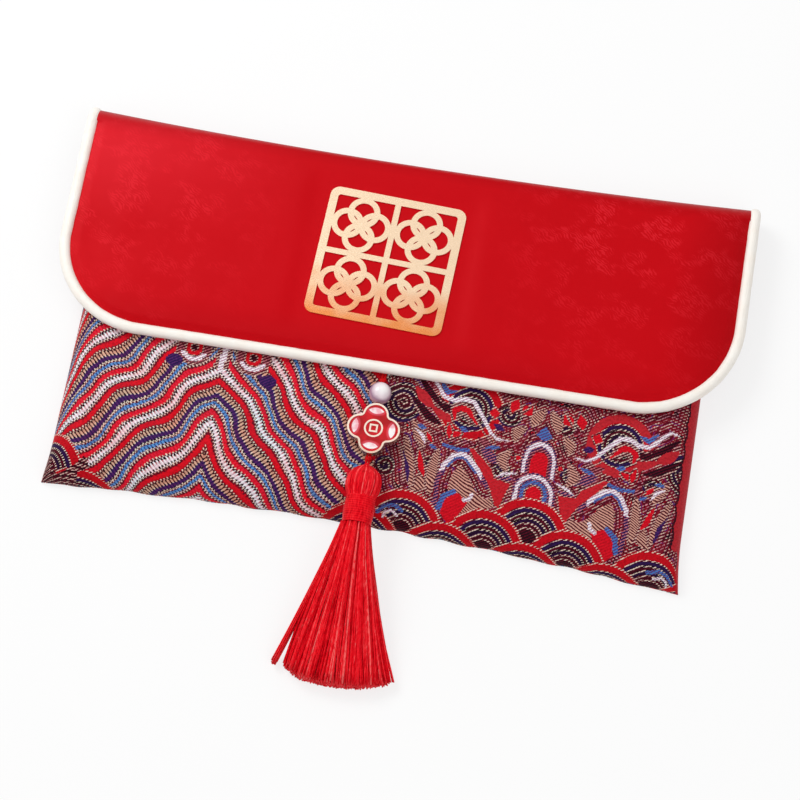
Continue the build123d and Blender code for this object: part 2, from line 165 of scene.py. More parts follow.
def dress(piece, slot, body, *stands_for):
    """Hides the nodes a piece stands for and attaches the piece to a body, if one is given. slot is not used.
    """
    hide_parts(*stands_for)
    if body:
        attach(piece, body)


def bend_at_fold(piece):
    """Bakes the piece's transform into its mesh."""
    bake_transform(piece)


def tubes(paths, radii, sides):
    """Points and faces of closed tubes. paths is (tube, station, 3), radii is (tube, station)."""
    count, stations, _ = paths.shape
    along = unit(np.gradient(paths, axis=1))
    hint = np.where(np.abs(along[..., 2:3]) < 0.8, [0.0, 0.0, 1.0], [0.0, 1.0, 0.0])
    side = unit(np.cross(along, hint))
    over = np.cross(side, along)
    turns = circle(sides)[:, None]
    ring = side[:, :, None] * np.cos(turns) + over[:, :, None] * np.sin(turns)
    points = paths[:, :, None] + ring * radii[:, :, None, None]
    per_tube = stations * sides
    starts = per_tube * np.arange(count)
    walls = grid_faces(stations, sides, ring=True)[None, :, ::-1] + starts[:, None, None]
    faces = walls.reshape(-1, 4).tolist()
    for start in starts.tolist():
        faces.append(list(range(start, start + sides)))
        faces.append(list(range(start + per_tube - sides, start + per_tube))[::-1])
    return points.reshape(-1, 3), faces


def joined(parts):
    """Points and faces of several meshes as one."""
    points, faces, count = [], [], 0
    for more_points, more_faces in parts:
        points.append(more_points)
        faces += [[i + count for i in f] for f in more_faces]
        count += len(more_points)
    return np.concatenate(points), faces


# Materials

class Wire:
    """A shader value that can be added to, multiplied and so on."""

    def __init__(self, finish, socket):
        self.finish = finish
        self.socket = socket

    def math(self, operation, second=0.0, third=0.0):
        return self.finish.add("Math", {0: self, 1: second, 2: third}, operation=operation)

    def __add__(self, other):
        return self.math("ADD", other)

    def __sub__(self, other):
        return self.math("SUBTRACT", other)

    def __mul__(self, other):
        return self.math("MULTIPLY", other)

    def __truediv__(self, other):
        return self.math("DIVIDE", other)

    def __abs__(self):
        return self.math("ABSOLUTE")

    def wave(self, pitch):
        """A sine with that pitch."""
        return (self * (TURN / pitch)).math("SINE")

    def zigzag(self, half_pitch):
        """Straight up from 0 to 1 and down again."""
        return (self / half_pitch).math("PINGPONG", 1.0)

    def range(self, low, high, new_low=0.0, new_high=1.0):
        return self.finish.add("MapRange", {0: self, 1: low, 2: high, 3: new_low, 4: new_high})

    def ramp(self, *stops, sharp=False):
        """Colours at (value, colour) stops, blended or in sharp steps."""
        node = self.finish.tree.nodes.new("ShaderNodeValToRGB")
        node.color_ramp.interpolation = "CONSTANT" if sharp else "LINEAR"
        elements = node.color_ramp.elements
        while len(elements) < len(stops):
            elements.new(0.5)
        for element, (position, shade) in zip(elements, stops):
            element.position = position
            element.color = shade
        self.finish.feed(node.inputs[0], self)
        return Wire(self.finish, node.outputs[0])


class Finish:
    """A material and short ways to add nodes to it."""

    def __init__(self, name, **settings):
        self.material = bpy.data.materials.new(name)
        self.material.use_nodes = True
        self.tree = self.material.node_tree
        self.shader = self.tree.nodes["Principled BSDF"]
        for key, value in settings.items():
            self.set(key.replace("_", " "), value)

    def feed(self, socket, value):
        if isinstance(value, Wire):
            self.tree.links.new(value.socket, socket)
        else:
            socket.default_value = value

    def add(self, kind, inputs=None, out=0, **settings):
        node = self.tree.nodes.new("ShaderNode" + kind)
        for key, value in settings.items():
            setattr(node, key, value)
        for key, value in (inputs or {}).items():
            self.feed(node.inputs[key], value)
        return Wire(self, node.outputs[out])

    def value(self, name):
        """A value that the mesh holds."""
        return self.add("Attribute", out="Fac", attribute_name=name)

    def cloth_place(self):
        """Millimetres on the flat cloth."""
        return self.add("Attribute", out="Vector", attribute_name="flat")

    def frame_place(self):
        """Millimetres in the row frame at rest."""
        point = self.add("TexCoord", out="Object")
        return self.add("VectorMath", {0: point, 3: 1000.0}, operation="SCALE")

    def axes(self, vector):
        """X and Y of a vector."""
        node = self.tree.nodes.new("ShaderNodeSeparateXYZ")
        self.feed(node.inputs[0], vector)
        return Wire(self, node.outputs[0]), Wire(self, node.outputs[1])

    def noise(self, place, scale, detail=2.0, roughness=0.5, stretch=None):
        if stretch:
            place = self.add("VectorMath", {0: place, 1: stretch}, operation="MULTIPLY")
        inputs = {"Vector": place, "Scale": scale, "Detail": detail, "Roughness": roughness}
        return self.add("TexNoise", inputs)

    def mix(self, share, first, second, blend="MIX"):
        inputs = {0: share, 6: first, 7: second}
        return self.add("Mix", inputs, out=2, data_type="RGBA", blend_type=blend)

    def bump(self, height, strength, distance):
        """Distance in millimetres."""
        inputs = {"Height": height, "Strength": strength, "Distance": distance * MM}
        self.set("Normal", self.add("Bump", inputs))

    def set(self, name, value):
        self.feed(self.shader.inputs[name], value)


def colour(*levels):
    """Shader colour from the usual 0 to 255 values."""
    shares = [level / 255 for level in levels]
    return (*[c / 12.92 if c <= 0.04045 else ((c + 0.055) / 1.055) ** 2.4 for c in shares], 1.0)


def grey(level):
    return (level, level, level, 1.0)


def satin_finish():
    """Red satin with tonal sprigs woven in, a painted highlight at the upper left and painted shade along its
    turned edges and fold.
    """
    f = Finish("red_satin", Specular_IOR_Level=0.38, Specular_Tint=colour(255, 84, 96))
    place = f.cloth_place()
    x, y = f.axes(place)
    weave = y.wave(0.32) * x.wave(0.4)
    # Sprigs, plainest in the middle and towards the lower edge
    cell = f.noise(place, 0.11, stretch=(1.0, 1.4, 1.0))
    hatch = (x * 0.8 + (f.noise(place, 0.4, 1.0) * 3.0 + y)).wave(0.95)
    leaf = (hatch * 0.12 + f.noise(place, 0.45, 3.0, 0.6)).range(0.48, 0.6)
    shown = abs(x - PLAQUE_X).range(26.0, 52.0) * y.range(4.0, 36.0, 0.35, 1.0)
    sprig = leaf * cell.range(0.47, 0.57) * shown
    tone = weave * 0.05 + (sprig * 0.4 + 0.5)
    base = f.noise(place, 0.03).ramp((0.3, colour(190, 5, 14)), (0.7, colour(202, 8, 19)))
    lit = tone.ramp((0.35, colour(180, 3, 12)), (0.5, colour(195, 6, 16)), (0.95, colour(230, 40, 52)))
    # Painted highlight, paler towards the upper left
    painted_highlight = x.range(-30.0, -78.0, 0.0, 0.6) * y.range(20.0, 40.0)
    lit = f.mix(painted_highlight, f.mix(0.6, base, lit), colour(222, 34, 46))
    # Painted shade, deeper red where the cloth turns down to its right and lower edges and over the fold
    turned = x.range(72.0, 94.0, 0.0, 0.7).math("MAXIMUM", y.range(46.5, 56.0))
    turned = turned.math("MAXIMUM", y.range(2.0, -12.0, 0.0, 0.45))
    f.set("Base Color", f.mix(turned, lit, colour(150, 2, 8)))
    f.set("Roughness", tone.range(0.4, 0.9, 0.46, 0.38))
    f.bump(sprig * 1.2 + weave, 0.15, 0.05)
    return f.material


def lining_finish():
    """Plain woven cloth."""
    f = Finish("red_lining", Roughness=0.75, Specular_IOR_Level=0.15)
    place = f.cloth_place()
    x, y = f.axes(place)
    pitch = 0.42
    weave = x.wave(pitch) * y.wave(pitch)
    tone = weave * 0.14 + f.noise(place, 0.12, 3.0)
    f.set("Base Color", tone.ramp((0.25, colour(140, 8, 18)), (0.75, colour(186, 20, 30))))
    f.bump(weave, 0.3, 0.08)
    return f.material


def piping_finish():
    """Cream strip cut on the bias."""
    f = Finish("cream_piping", Roughness=0.45)
    place = f.cloth_place()
    x, y = f.axes(place)
    bias = (x + y).wave(0.34)
    drift = f.noise(place, 0.25, 3.0, stretch=(1.0, 0.5, 1.0))
    shade = drift.ramp((0.3, colour(254, 246, 236)), (0.7, colour(255, 251, 244)))
    f.set("Base Color", f.mix(bias.range(-1.0, 1.0, 0.0, 0.12), shade, colour(244, 233, 218)))
    f.bump(drift * 3.0 + bias, 0.2, 0.06)
    return f.material


def fibre_finish(name, dark, light, grain, bump, on_cloth=False, **settings):
    """Fibres of two shades. grain is what noise takes after the place, bump the strength and distance."""
    f = Finish(name, **settings)
    fibres = f.noise(f.cloth_place() if on_cloth else f.frame_place(), *grain)
    f.set("Base Color", fibres.ramp((0.3, dark), (0.7, light)))
    f.bump(fibres, *bump)
    return f.material


def thread_finish():
    """Lustrous rayon thread, each strand with its own tone and with glints painted along it."""
    f = Finish("red_rayon", Roughness=0.26, Specular_IOR_Level=0.35, Specular_Tint=colour(255, 84, 92))
    glints_and_fibres = f.noise(f.frame_place(), 1.0, stretch=(2.4, 0.6, 2.4))
    # The stretched noise paints glints along the strands into the colour and also bumps the fibres; the
    # palest stops are painted glint colours.
    tone = (glints_and_fibres - 0.5) * 1.1 + f.value("strand")
    dark = (0.05, colour(194, 0, 14)), (0.4, colour(240, 12, 30))
    pale = (0.8, colour(255, 48, 58)), (1.0, colour(255, 112, 110))
    f.set("Base Color", tone.ramp(*dark, *pale))
    f.bump(glints_and_fibres, 0.15, 0.05)
    return f.material


def gold_finish(name, shade, deep, low, high):
    """Polished plating with a painted reflection that deepens its colour towards low along Y."""
    f = Finish(name, Metallic=1.0)
    place = f.frame_place()
    _, y = f.axes(place)
    # Painted reflection: paler towards high Y and deeper towards low, unevenly
    height = (f.noise(place, 0.16) - 0.5) * 0.5 + y.range(low, high)
    f.set("Base Color", height.ramp((0.1, deep), (0.6, shade)))
    brushed = f.noise(place, 2.0, 3.0, stretch=(1.0, 6.0, 1.0))
    f.set("Roughness", brushed.range(0.3, 0.7, 0.18, 0.32))
    f.bump(brushed, 0.06, 0.05)
    return f.material


def steel_finish():
    f = Finish("magnet_nickel", Metallic=1.0)
    drift = f.noise(f.frame_place(), 0.8, 3.0)
    f.set("Base Color", drift.ramp((0.3, colour(170, 170, 175)), (0.7, colour(205, 205, 208))))
    f.set("Roughness", drift.range(0.3, 0.7, 0.22, 0.4))
    return f.material


def pearl_finish():
    """Painted highlight on a pale spot on the upper side, with painted shade that darkens the colour away
    from it.
    """
    f = Finish("pearl_lustre", Roughness=0.2, Coat_Weight=0.4, Coat_Roughness=0.08)
    place = f.frame_place()
    # Painted highlight round this spot, and painted shade away from it
    spot = (0.8, PEARL_Y + 0.4, CHAIN_Z + 3.0)
    away = f.add("VectorMath", {0: place, 1: spot}, out="Value", operation="DISTANCE")
    tone = (f.noise(place, 0.6) * 0.9 + away).range(0.6, 5.4)
    pale = (0.1, colour(254, 250, 250)), (0.45, colour(236, 218, 226))
    dark = (0.7, colour(164, 124, 152)), (0.95, colour(214, 170, 182))
    f.set("Base Color", tone.ramp(*pale, *dark))
    return f.material


def enamel_finish(name, first, second, low, high, fade=None):
    """Glossy enamel. With fade, that colour blends in round the charm's petals."""
    f = Finish(name, Roughness=0.12, Specular_IOR_Level=0.15, Coat_Weight=0.25, Coat_Roughness=0.04)
    place = f.frame_place()
    shade = f.noise(place, 0.35).ramp((low, first), (high, second))
    if fade:
        x, y = f.axes(place)
        across, along = abs(x), abs(y - (CHARM_TOP_Y + CHARM_LOW_Y) / 2)
        outward = (across.math("MAXIMUM", along) - PETAL_OFFSET) / PETAL_FADE[0]
        sideways = across.math("MINIMUM", along) / PETAL_FADE[1]
        oval = outward * outward + sideways * sideways
        shade = f.mix(oval.range(0.2, 1.0, 0.9, 0.0), shade, fade)
    f.set("Base Color", shade)
    f.bump(f.noise(place, 0.7, 1.0), 0.1, 0.2)
    return f.material


def seen_rays(tree):
    """1 for rays from the camera, and those that metal and glass send on."""
    path = tree.nodes.new("ShaderNodeLightPath")
    share = path.outputs["Is Camera Ray"]
    for ray in ("Is Glossy Ray", "Is Transmission Ray"):
        most = tree.nodes.new("ShaderNodeMath")
        most.operation = "MAXIMUM"
        tree.links.new(share, most.inputs[0])
        tree.links.new(path.outputs[ray], most.inputs[1])
        share = most.outputs[0]
    return share


def floor_finish():
    """Pale floor that shows white, with a faint shadow."""
    f = Finish("pale_floor", Roughness=0.9, Specular_IOR_Level=0.0)
    f.set("Base Color", f.noise(f.frame_place(), 0.01).ramp((0.3, grey(0.96)), (0.7, grey(0.97))))
    lit = f.add("Emission", {"Color": grey(1.0), "Strength": 1.0})
    share = Wire(f, seen_rays(f.tree)) * 0.75
    both = f.add("MixShader", {0: share, 1: Wire(f, f.shader.outputs[0]), 2: lit})
    f.feed(f.tree.nodes["Material Output"].inputs["Surface"], both)
    return f.material


# Brocade

WHITE = colour(246, 240, 245)
PINK = colour(226, 192, 208)
RED = colour(218, 16, 36)
DEEP_RED = colour(172, 10, 28)
SCARLET = colour(196, 12, 28)
ROSE = colour(232, 32, 58)
MUTED_RED = colour(190, 38, 48)
ROCK = colour(200, 28, 40)
GOLD = colour(220, 174, 150)
TAN = colour(224, 168, 150)
RUST = colour(84, 18, 32)
ASH = colour(196, 112, 122)
CREAM = colour(238, 214, 196)
BLUSH = colour(222, 184, 172)
LILAC = colour(176, 126, 158)
PURPLE = colour(84, 34, 100)
NAVY = colour(42, 24, 80)
INK = colour(44, 14, 58)
BLUE = colour(98, 152, 214)
STEEL_BLUE = colour(76, 118, 188)
DARK_BLUE = colour(46, 80, 152)
WINE = colour(124, 16, 36)
MAROON = colour(90, 10, 32)
BLACK = colour(30, 6, 18)

# Waves of the left half: start within one repeat, ground colour, colour of the weft dashes over it
WAVES = [
    (0.000, WHITE, PINK), (0.045, BLACK, WHITE), (0.085, MAROON, CREAM), (0.125, WINE, WINE),
    (0.150, RED, RED), (0.255, WINE, WINE), (0.280, MAROON, CREAM), (0.315, BLACK, GOLD),
    (0.345, GOLD, RUST), (0.415, BLACK, CREAM), (0.445, PURPLE, NAVY), (0.540, BLACK, CREAM),
    (0.575, MAROON, CREAM), (0.620, BLUE, DARK_BLUE), (0.680, BLACK, PINK), (0.710, MAROON, CREAM),
    (0.765, WINE, WINE), (0.785, ROSE, RED), (0.885, MAROON, CREAM), (0.925, BLACK, WHITE),
    (0.965, WHITE, ASH),
]
# Scallops: start in shares of their radius from the rim inwards
RINGS = [
    (0.000, DEEP_RED, CREAM), (0.040, SCARLET, SCARLET), (0.215, MAROON, CREAM), (0.262, INK, NAVY),
    (0.350, BLACK, CREAM), (0.397, MAROON, BLACK), (0.465, BLACK, CREAM), (0.512, INK, BLACK),
    (0.590, MAROON, CREAM), (0.637, MAROON, BLACK), (0.710, MAROON, CREAM), (0.757, BLACK, MAROON),
]
# Figures of one colour and its dashes. The ground is drawn as contours instead.
FIGURES = {
    "ground": (MAROON, BLUSH), "red": (RED, SCARLET), "rock": (ROCK, MUTED_RED), "muted_red": (MUTED_RED, MUTED_RED),
    "white": (WHITE, LILAC), "blue": (STEEL_BLUE, PURPLE), "gold": (TAN, RUST), "dots": (MAROON, BLUSH),
    "black": (BLACK, MAROON), "navy": (NAVY, PURPLE), "maroon_dash": (MAROON, ASH), "navy_dash": (NAVY, ASH),
}
WAVE_MIDDLE, WAVE_TILT, WAVE_PITCH = -43.1, 0.057, 10.21
FIGURE_MIDDLE, FIGURE_LEAN, FIGURE_TILT, FIGURE_LEVEL = 44.5, 0.03, 0.09, -22.0
FIGURE_START = 1.5
SCALLOP_RADIUS = 11.0
# On the weave's scale: where the right half starts, the share its rings take, and one figure's share
RIGHT_START, RING_SHARE = 10.0, 0.4
FIGURE_STEP = (1 - RING_SHARE) / len(FIGURES)
# What weave_plan writes for waves and for roundels
WAVE, ROUNDEL = -1, 50

# Strokes of the right half, mirrored about its middle line: figure, half width, points
STROKES = [
    ("gold", 1.5, [(28.2, -36.5), (29.6, -41.0), (31.5, -43.2)]),
    ("gold", 1.0, [(35.8, -29.8), (33.4, -36.5), (32.0, -42.0)]),
    ("gold", 1.2, [(26.8, -31.5), (27.4, -38.0), (27.0, -43.0)]),
    ("navy", 0.6, [(36.9, -32.4), (33.9, -37.6), (33.0, -41.5)]),
    ("dots", 0.4, [(38.0, -29.5), (35.2, -36.4), (34.2, -42.0)]),
    ("red", 0.75, [(31.6, -32.6), (30.4, -36.6), (29.2, -38.8)]),
    ("gold", 1.1, [(34.5, -25.0), (32.4, -28.5), (31.0, -31.0)]),
    ("blue", 0.6, [(33.4, -25.8), (31.0, -26.0)]),
    ("white", 0.5, [(33.8, -26.8), (31.6, -28.2), (30.6, -30.2)]),
    ("red", 0.6, [(30.6, -27.2), (29.0, -29.2)]), ("blue", 0.55, [(29.2, -30.2), (27.4, -31.0)]),
    ("gold", 1.3, [(1.2, -13.5), (2.9, -16.0), (3.4, -18.0)]),
    ("gold", 1.2, [(5.6, -19.5), (7.2, -21.0), (7.4, -23.2)]), ("red", 1.5, [(4.6, -13.4), (6.4, -15.4)]),
    ("red", 1.3, [(8.6, -12.4), (9.6, -15.6)]), ("dots", 0.35, [(4.0, -12.0), (7.6, -16.6)]),
    ("red", 0.7, [(6.0, -27.4), (5.4, -28.4)]), ("red", 1.3, [(13.8, -18.4), (14.2, -16.4)]),
    ("navy", 0.9, [(11.0, -21.4), (13.4, -20.6)]),
    ("black", 1.1, [(36.0, -18.4), (31.6, -22.4), (27.6, -24.0)]),
    ("dots", 0.35, [(37.0, -18.8), (32.2, -23.6), (28.0, -25.2)]),
    ("black", 1.2, [(35.4, -12.4), (31.0, -16.8), (27.0, -19.2), (23.6, -19.4)]),
    ("dots", 0.35, [(36.0, -14.0), (31.2, -18.0), (27.4, -20.4), (23.2, -20.6)]),
    ("muted_red", 1.5, [(35.6, -15.6), (33.0, -18.0), (30.4, -19.9)]),
    ("muted_red", 1.1, [(30.4, -19.9), (27.4, -21.6), (23.6, -21.8)]),
    ("blue", 0.7, [(24.8, -13.8), (27.4, -14.8), (29.4, -12.4)]),
    ("red", 0.9, [(18.2, -21.6), (20.8, -18.6), (23.2, -18.0), (24.6, -19.4), (24.2, -21.6)]),
    ("dots", 0.4, [(19.6, -22.8), (21.2, -20.2), (22.6, -19.8), (23.2, -21.6)]),
    ("red", 0.8, [(21.8, -25.2), (24.6, -26.4)]), ("blue", 0.7, [(20.2, -24.2), (22.4, -23.6)]),
    ("red", 0.7, [(25.2, -23.6), (24.6, -27.0)]),
    ("white", 0.65, [(9.0, -24.0), (12.2, -24.3), (14.4, -22.6), (17.0, -19.2), (19.9, -15.8), (22.4, -15.5),
                     (25.0, -16.6), (27.8, -16.4), (30.4, -13.3), (32.8, -10.8), (35.0, -11.0)]),
    ("dots", 0.35, [(12.4, -25.6), (15.2, -24.2), (18.4, -20.4), (20.4, -17.4), (22.4, -17.0), (25.0, -18.1),
                    (28.4, -17.8), (31.4, -14.8)]),
    ("maroon_dash", 1.0, [(12.4, -27.4), (16.8, -25.2)]), ("blue", 0.6, [(11.0, -26.4), (14.6, -27.4)]),
    ("navy_dash", 1.3, [(10.4, -30.8), (15.4, -28.0)]),
    ("gold", 1.1, [(8.2, -26.6), (9.8, -29.4), (8.4, -32.0)]),
    ("white", 0.4, [(5.4, -32.2), (8.6, -33.2), (10.4, -34.4)]),
    ("navy_dash", 0.5, [(5.8, -34.2), (10.8, -34.6)]),
]
# Outlines of its rocks and its wave crest
RED_ROCK = [(17.7, -28.4), (12.0, -32.8), (11.0, -35.0), (6.4, -35.5), (7.3, -38.5), (8.3, -42.6),
            (9.5, -42.0), (12.0, -37.0), (16.0, -32.5), (18.8, -28.6)]
CREST = [(9.6, -42.8), (12.4, -37.8), (15.6, -33.8), (18.4, -31.2), (20.3, -30.5), (22.6, -31.6),
         (24.6, -34.8), (25.4, -39.7), (24.8, -46.4), (20.0, -50.0), (16.0, -46.0)]
CREST_RIM = CREST[1:9]
CREST_EYE = [(16.6, -43.2), (19.2, -41.4), (20.4, -41.6), (22.6, -44.0), (23.2, -47.4), (20.0, -51.0)]
# Arches on the middle line: peak, half width, height of the round, lowest level, bands by where they begin
ARCHES = [
    (-22.0, 4.3, 6.0, -31.6,
     [("navy_dash", -0.45), ("white", 0.0), ("navy_dash", 0.9), ("maroon_dash", 1.4), ("red", 2.0)]),
    (-31.3, 5.2, 5.2, -46.0,
     [("navy_dash", -0.5), ("white", 0.0), ("navy_dash", 1.05), ("blue", 1.6), ("dots", 2.6), ("red", 3.2)]),
]
LEFT_CORNER = [(-84.0, -47.0), (-80.5, -52.0), (-77.0, -49.2), (-74.2, -45.6), (-72.3, -48.4), (-75.6, -50.4),
               (-75.2, -60.0), (-92.0, -62.0), (-92.0, -47.0)]
# Rings of the left half's swirls, from the outside in
SWIRL = [("dots", 5.0), ("maroon_dash", 4.4), ("white", 3.9), ("dots", 2.7), ("red", 2.2), ("dots", 1.2),
         ("black", 0.8)]
# Roundels: middle, rim radius, start on the scale of rings, twist into a spiral. These lie under the strokes.
ROUNDELS = [
    (64.6, -19.7, 8.8, 0.0, 0), (24.3, -16.1, 8.8, 0.0, 0), (6.4, -17.0, 5.6, 0.3, 1),
    (83.0, -24.4, 5.6, 0.3, -1), (15.4, -33.3, 2.4, 0.35, 1), (4.4, -35.1, 2.7, 0.35, -1),
    (34.4, -31.4, 2.7, 0.35, 1), (34.7, -15.9, 3.4, 0.35, 1), (49.5, -16.2, 3.0, 0.35, -1),
    (52.9, -30.4, 2.7, 0.35, -1), (74.6, -29.5, 2.7, 0.35, 1),
]
UNDER_STROKES = len(ROUNDELS)
# Over the strokes: two in the left corner, then rows of scallops, back to front, by place and peak
ROUNDELS += [(-86.0, -52.0, 12.2, 0.0, 0), (-75.0, -60.3, 11.2, 0.0, 0)]
for places, peak in (((0,), -37.7), ((-33, -11, 11, 33), -43.6), ((-44, -22, 0, 22, 44), -49.7)):
    for across in places:
        height = peak - FIGURE_TILT * across
        middle = across + FIGURE_MIDDLE + FIGURE_LEAN * (height - FIGURE_LEVEL)
        ROUNDELS.append((middle, height - SCALLOP_RADIUS, SCALLOP_RADIUS, 0.0, 0))


def wave_count(x, y):
    """Counts the nested waves downwards. White lies round the whole numbers."""
    away = x - WAVE_MIDDLE
    level = y + WAVE_TILT * away
    along = np.abs(away) - 0.727 * level
    drop = -17.4 - 0.62 * (along - 15) + 0.8 * np.cos(TURN * (along - 24.5) / 24.5)
    drop = drop - 0.05 * np.clip(-77 - x, 0, None) ** 2
    return (drop - level) / WAVE_PITCH


def from_line(x, y, line, half=0.0):
    """Distance to a line of points, or from a stroke along it that thins towards its ends."""
    best = np.full(np.shape(x), 1e3)
    for place, ((ax, ay), (bx, by)) in enumerate(zip(line[:-1], line[1:])):
        dx, dy = bx - ax, by - ay
        share = np.clip(((x - ax) * dx + (y - ay) * dy) / (dx * dx + dy * dy), 0, 1)
        thin = half * (0.3 + 0.7 * np.sin(np.pi * (place + share) / (len(line) - 1)))
        best = np.minimum(best, np.hypot(x - ax - share * dx, y - ay - share * dy) - thin)
    return best


def within(x, y, corners):
    """Whether places lie inside a polygon."""
    inside = np.zeros(np.shape(x), bool)
    for (ax, ay), (bx, by) in zip(corners, corners[1:] + corners[:1]):
        if ay != by:
            inside ^= ((ay > y) != (by > y)) & (x < ax + (y - ay) * (bx - ax) / (by - ay))
    return inside


def arch_depth(v, y, peak, half, high):
    """How far a place is inside a round arch whose peak is on the middle line."""
    up = np.clip(y - (peak - high), 0, None) / high
    return half * (1 - np.hypot(v / half, up))


def figure_places(x, y):
    """Places of the right half: distance from its middle line, and level."""
    across = x - FIGURE_MIDDLE - FIGURE_LEAN * (y - FIGURE_LEVEL)
    return np.abs(across), y + FIGURE_TILT * across


def ground_contour(x, y):
    """Distance from the nearest stroke of the right half, or from the crest's rim within it."""
    v, level = figure_places(x, y)
    gap = np.min([from_line(v, level, points, half) for _, half, points in STROKES], axis=0)
    return np.where(within(v, level, CREST), from_line(v, level, CREST_RIM), gap)


def weave_plan(x, y):
    """Which figure covers each place, or WAVE or ROUNDEL, and which roundel."""
    v, level = figure_places(x, y)
    right = x > FIGURE_START
    figure, ring = np.full(x.shape, WAVE), np.zeros(x.shape, int)
    names = list(FIGURES)

    def paint(name, where):
        figure[where] = names.index(name)

    def lay_roundels(first, last):
        for index in range(first, last):
            mid_x, mid_y, size, _, _ = ROUNDELS[index]
            inside = np.hypot(x - mid_x, y - mid_y) < size
            figure[inside], ring[inside] = ROUNDEL, index

    def line(name, half, points):
        paint(name, right & (from_line(v, level, points) < half))

    # Swirls and column of the left half
    for mid_x, mid_y in ((-51.3, -11.0), (-35.2, -11.4)):
        reach = np.hypot(x - mid_x, y - mid_y)
        for name, size in SWIRL:
            paint(name, (reach < size) & ((name != "white") | (y < mid_y - 1.4)))
    for mid_x, mid_y in ((-56.0, -15.3), (-30.2, -17.5)):
        paint("navy", np.hypot((x - mid_x) / 1.25, y - mid_y) < 1.8)
    column = np.abs(x + 43.3 - 0.12 * (y + 14))
    paint("dots", (column < 1.9) & (y > -16.4 + column * 0.6) & (y < 42 - column * 4))
    paint("white", (column < 0.7 + 0.03 * np.minimum(y + 16, 20 - y)) & (y > -17.0))
    # Right half
    paint("ground", right)
    lay_roundels(0, UNDER_STROKES)
    rim_x, rim_y, rim_size = ROUNDELS[0][:3]
    first_rim = rim_size - np.hypot(x - rim_x, y - rim_y) < 2.2
    paint("muted_red", (figure == ROUNDEL) & (ring == 0) & first_rim)
    for name, half, points in STROKES:
        gap = from_line(v, level, points, half)
        if name in ("gold", "red"):
            paint("dots", right & (gap < 0.55))
        paint(name, right & (gap < 0))
    # Rocks and crest
    line("dots", 0.45, RED_ROCK + RED_ROCK[:1])
    paint("rock", right & within(v, level, RED_ROCK))
    crest = right & within(v, level, CREST)
    rim = from_line(v, level, CREST_RIM)
    paint("ground", crest)
    paint("gold", crest & (rim > 3.2))
    paint("blue", crest & (rim < 1.25) & (level > -35))
    paint("navy_dash", right & (rim < 0.6) & (v > 12.0))
    paint("white", right & (rim < 0.6) & (v > 14.2) & (level > -36.5))
    line("blue", 0.5, [(19.0, -29.2), (21.8, -29.8), (25.6, -29.3)])
    paint("red", right & within(v, level, CREST_EYE))
    line("blue", 0.7, [(20.6, -41.2), (23.0, -42.9), (23.8, -46.4)])
    line("white", 0.5, [(15.8, -40.9), (16.2, -42.2), (17.6, -42.8)])
    # Diamond and arches on the middle line
    above = level + 20.2
    paint("blue", right & (v / 2.2 + np.abs(above) / np.where(above > 0, 2.8, 1.7) < 1))
    for peak, half, high, low, bands in ARCHES:
        deep = np.where(right & (level > low), arch_depth(v, level, peak, half, high), -1.0)
        for name, begin in bands:
            paint(name, deep > begin)
    lay_roundels(UNDER_STROKES, len(ROUNDELS))
    # Curls of foam on the outer scallops
    line("blue", 0.5, [(33.0, -49.4), (35.2, -48.4), (37.6, -49.2), (39.4, -51.4)])
    line("white", 0.35, [(34.0, -51.0), (35.8, -50.0), (37.4, -50.8), (37.6, -52.4)])
    # Left corner, then the dark line and the plain strips along the sides; the strips are painted shade where
    # the cloth rolls round the sides.
    corner = within(x, y, LEFT_CORNER)
    paint("black", corner)
    paint("dots", corner & (np.mod(np.hypot(x + 77.0, y + 62.0), 1.5) < 0.75))
    above_scallops = y > -45.0
    right_rim = x + 0.3 * np.sin(1.1 * y)
    paint("black", (right_rim > 81.7) & above_scallops)
    paint("muted_red", (right_rim > np.where(above_scallops, 82.4, 85.0)) | (x < -86.6))
    return figure, ring


def weave_values(corner_x, corner_y):
    """Value at the four corners of each face: the count of waves, or a place on the right half's scale."""
    figure, ring = weave_plan(corner_x.mean(axis=1), corner_y.mean(axis=1))
    figure = figure[:, None]
    mid_x, mid_y, size, start, spiral = np.array(ROUNDELS)[ring].T[:, :, None]
    away_x, away_y = corner_x - mid_x, corner_y - mid_y
    depth = size - np.hypot(away_x, away_y)
    twist = 0.117 * spiral * np.arctan2(away_y, away_x) / TURN
    rings = np.clip(start + depth / SCALLOP_RADIUS + twist, 0, 0.999) * RING_SHARE
    plain = RING_SHARE + (figure + 0.5) * FIGURE_STEP
    other = RIGHT_START + np.where(figure == ROUNDEL, rings, plain)
    return np.where(figure == WAVE, wave_count(corner_x, corner_y), other)


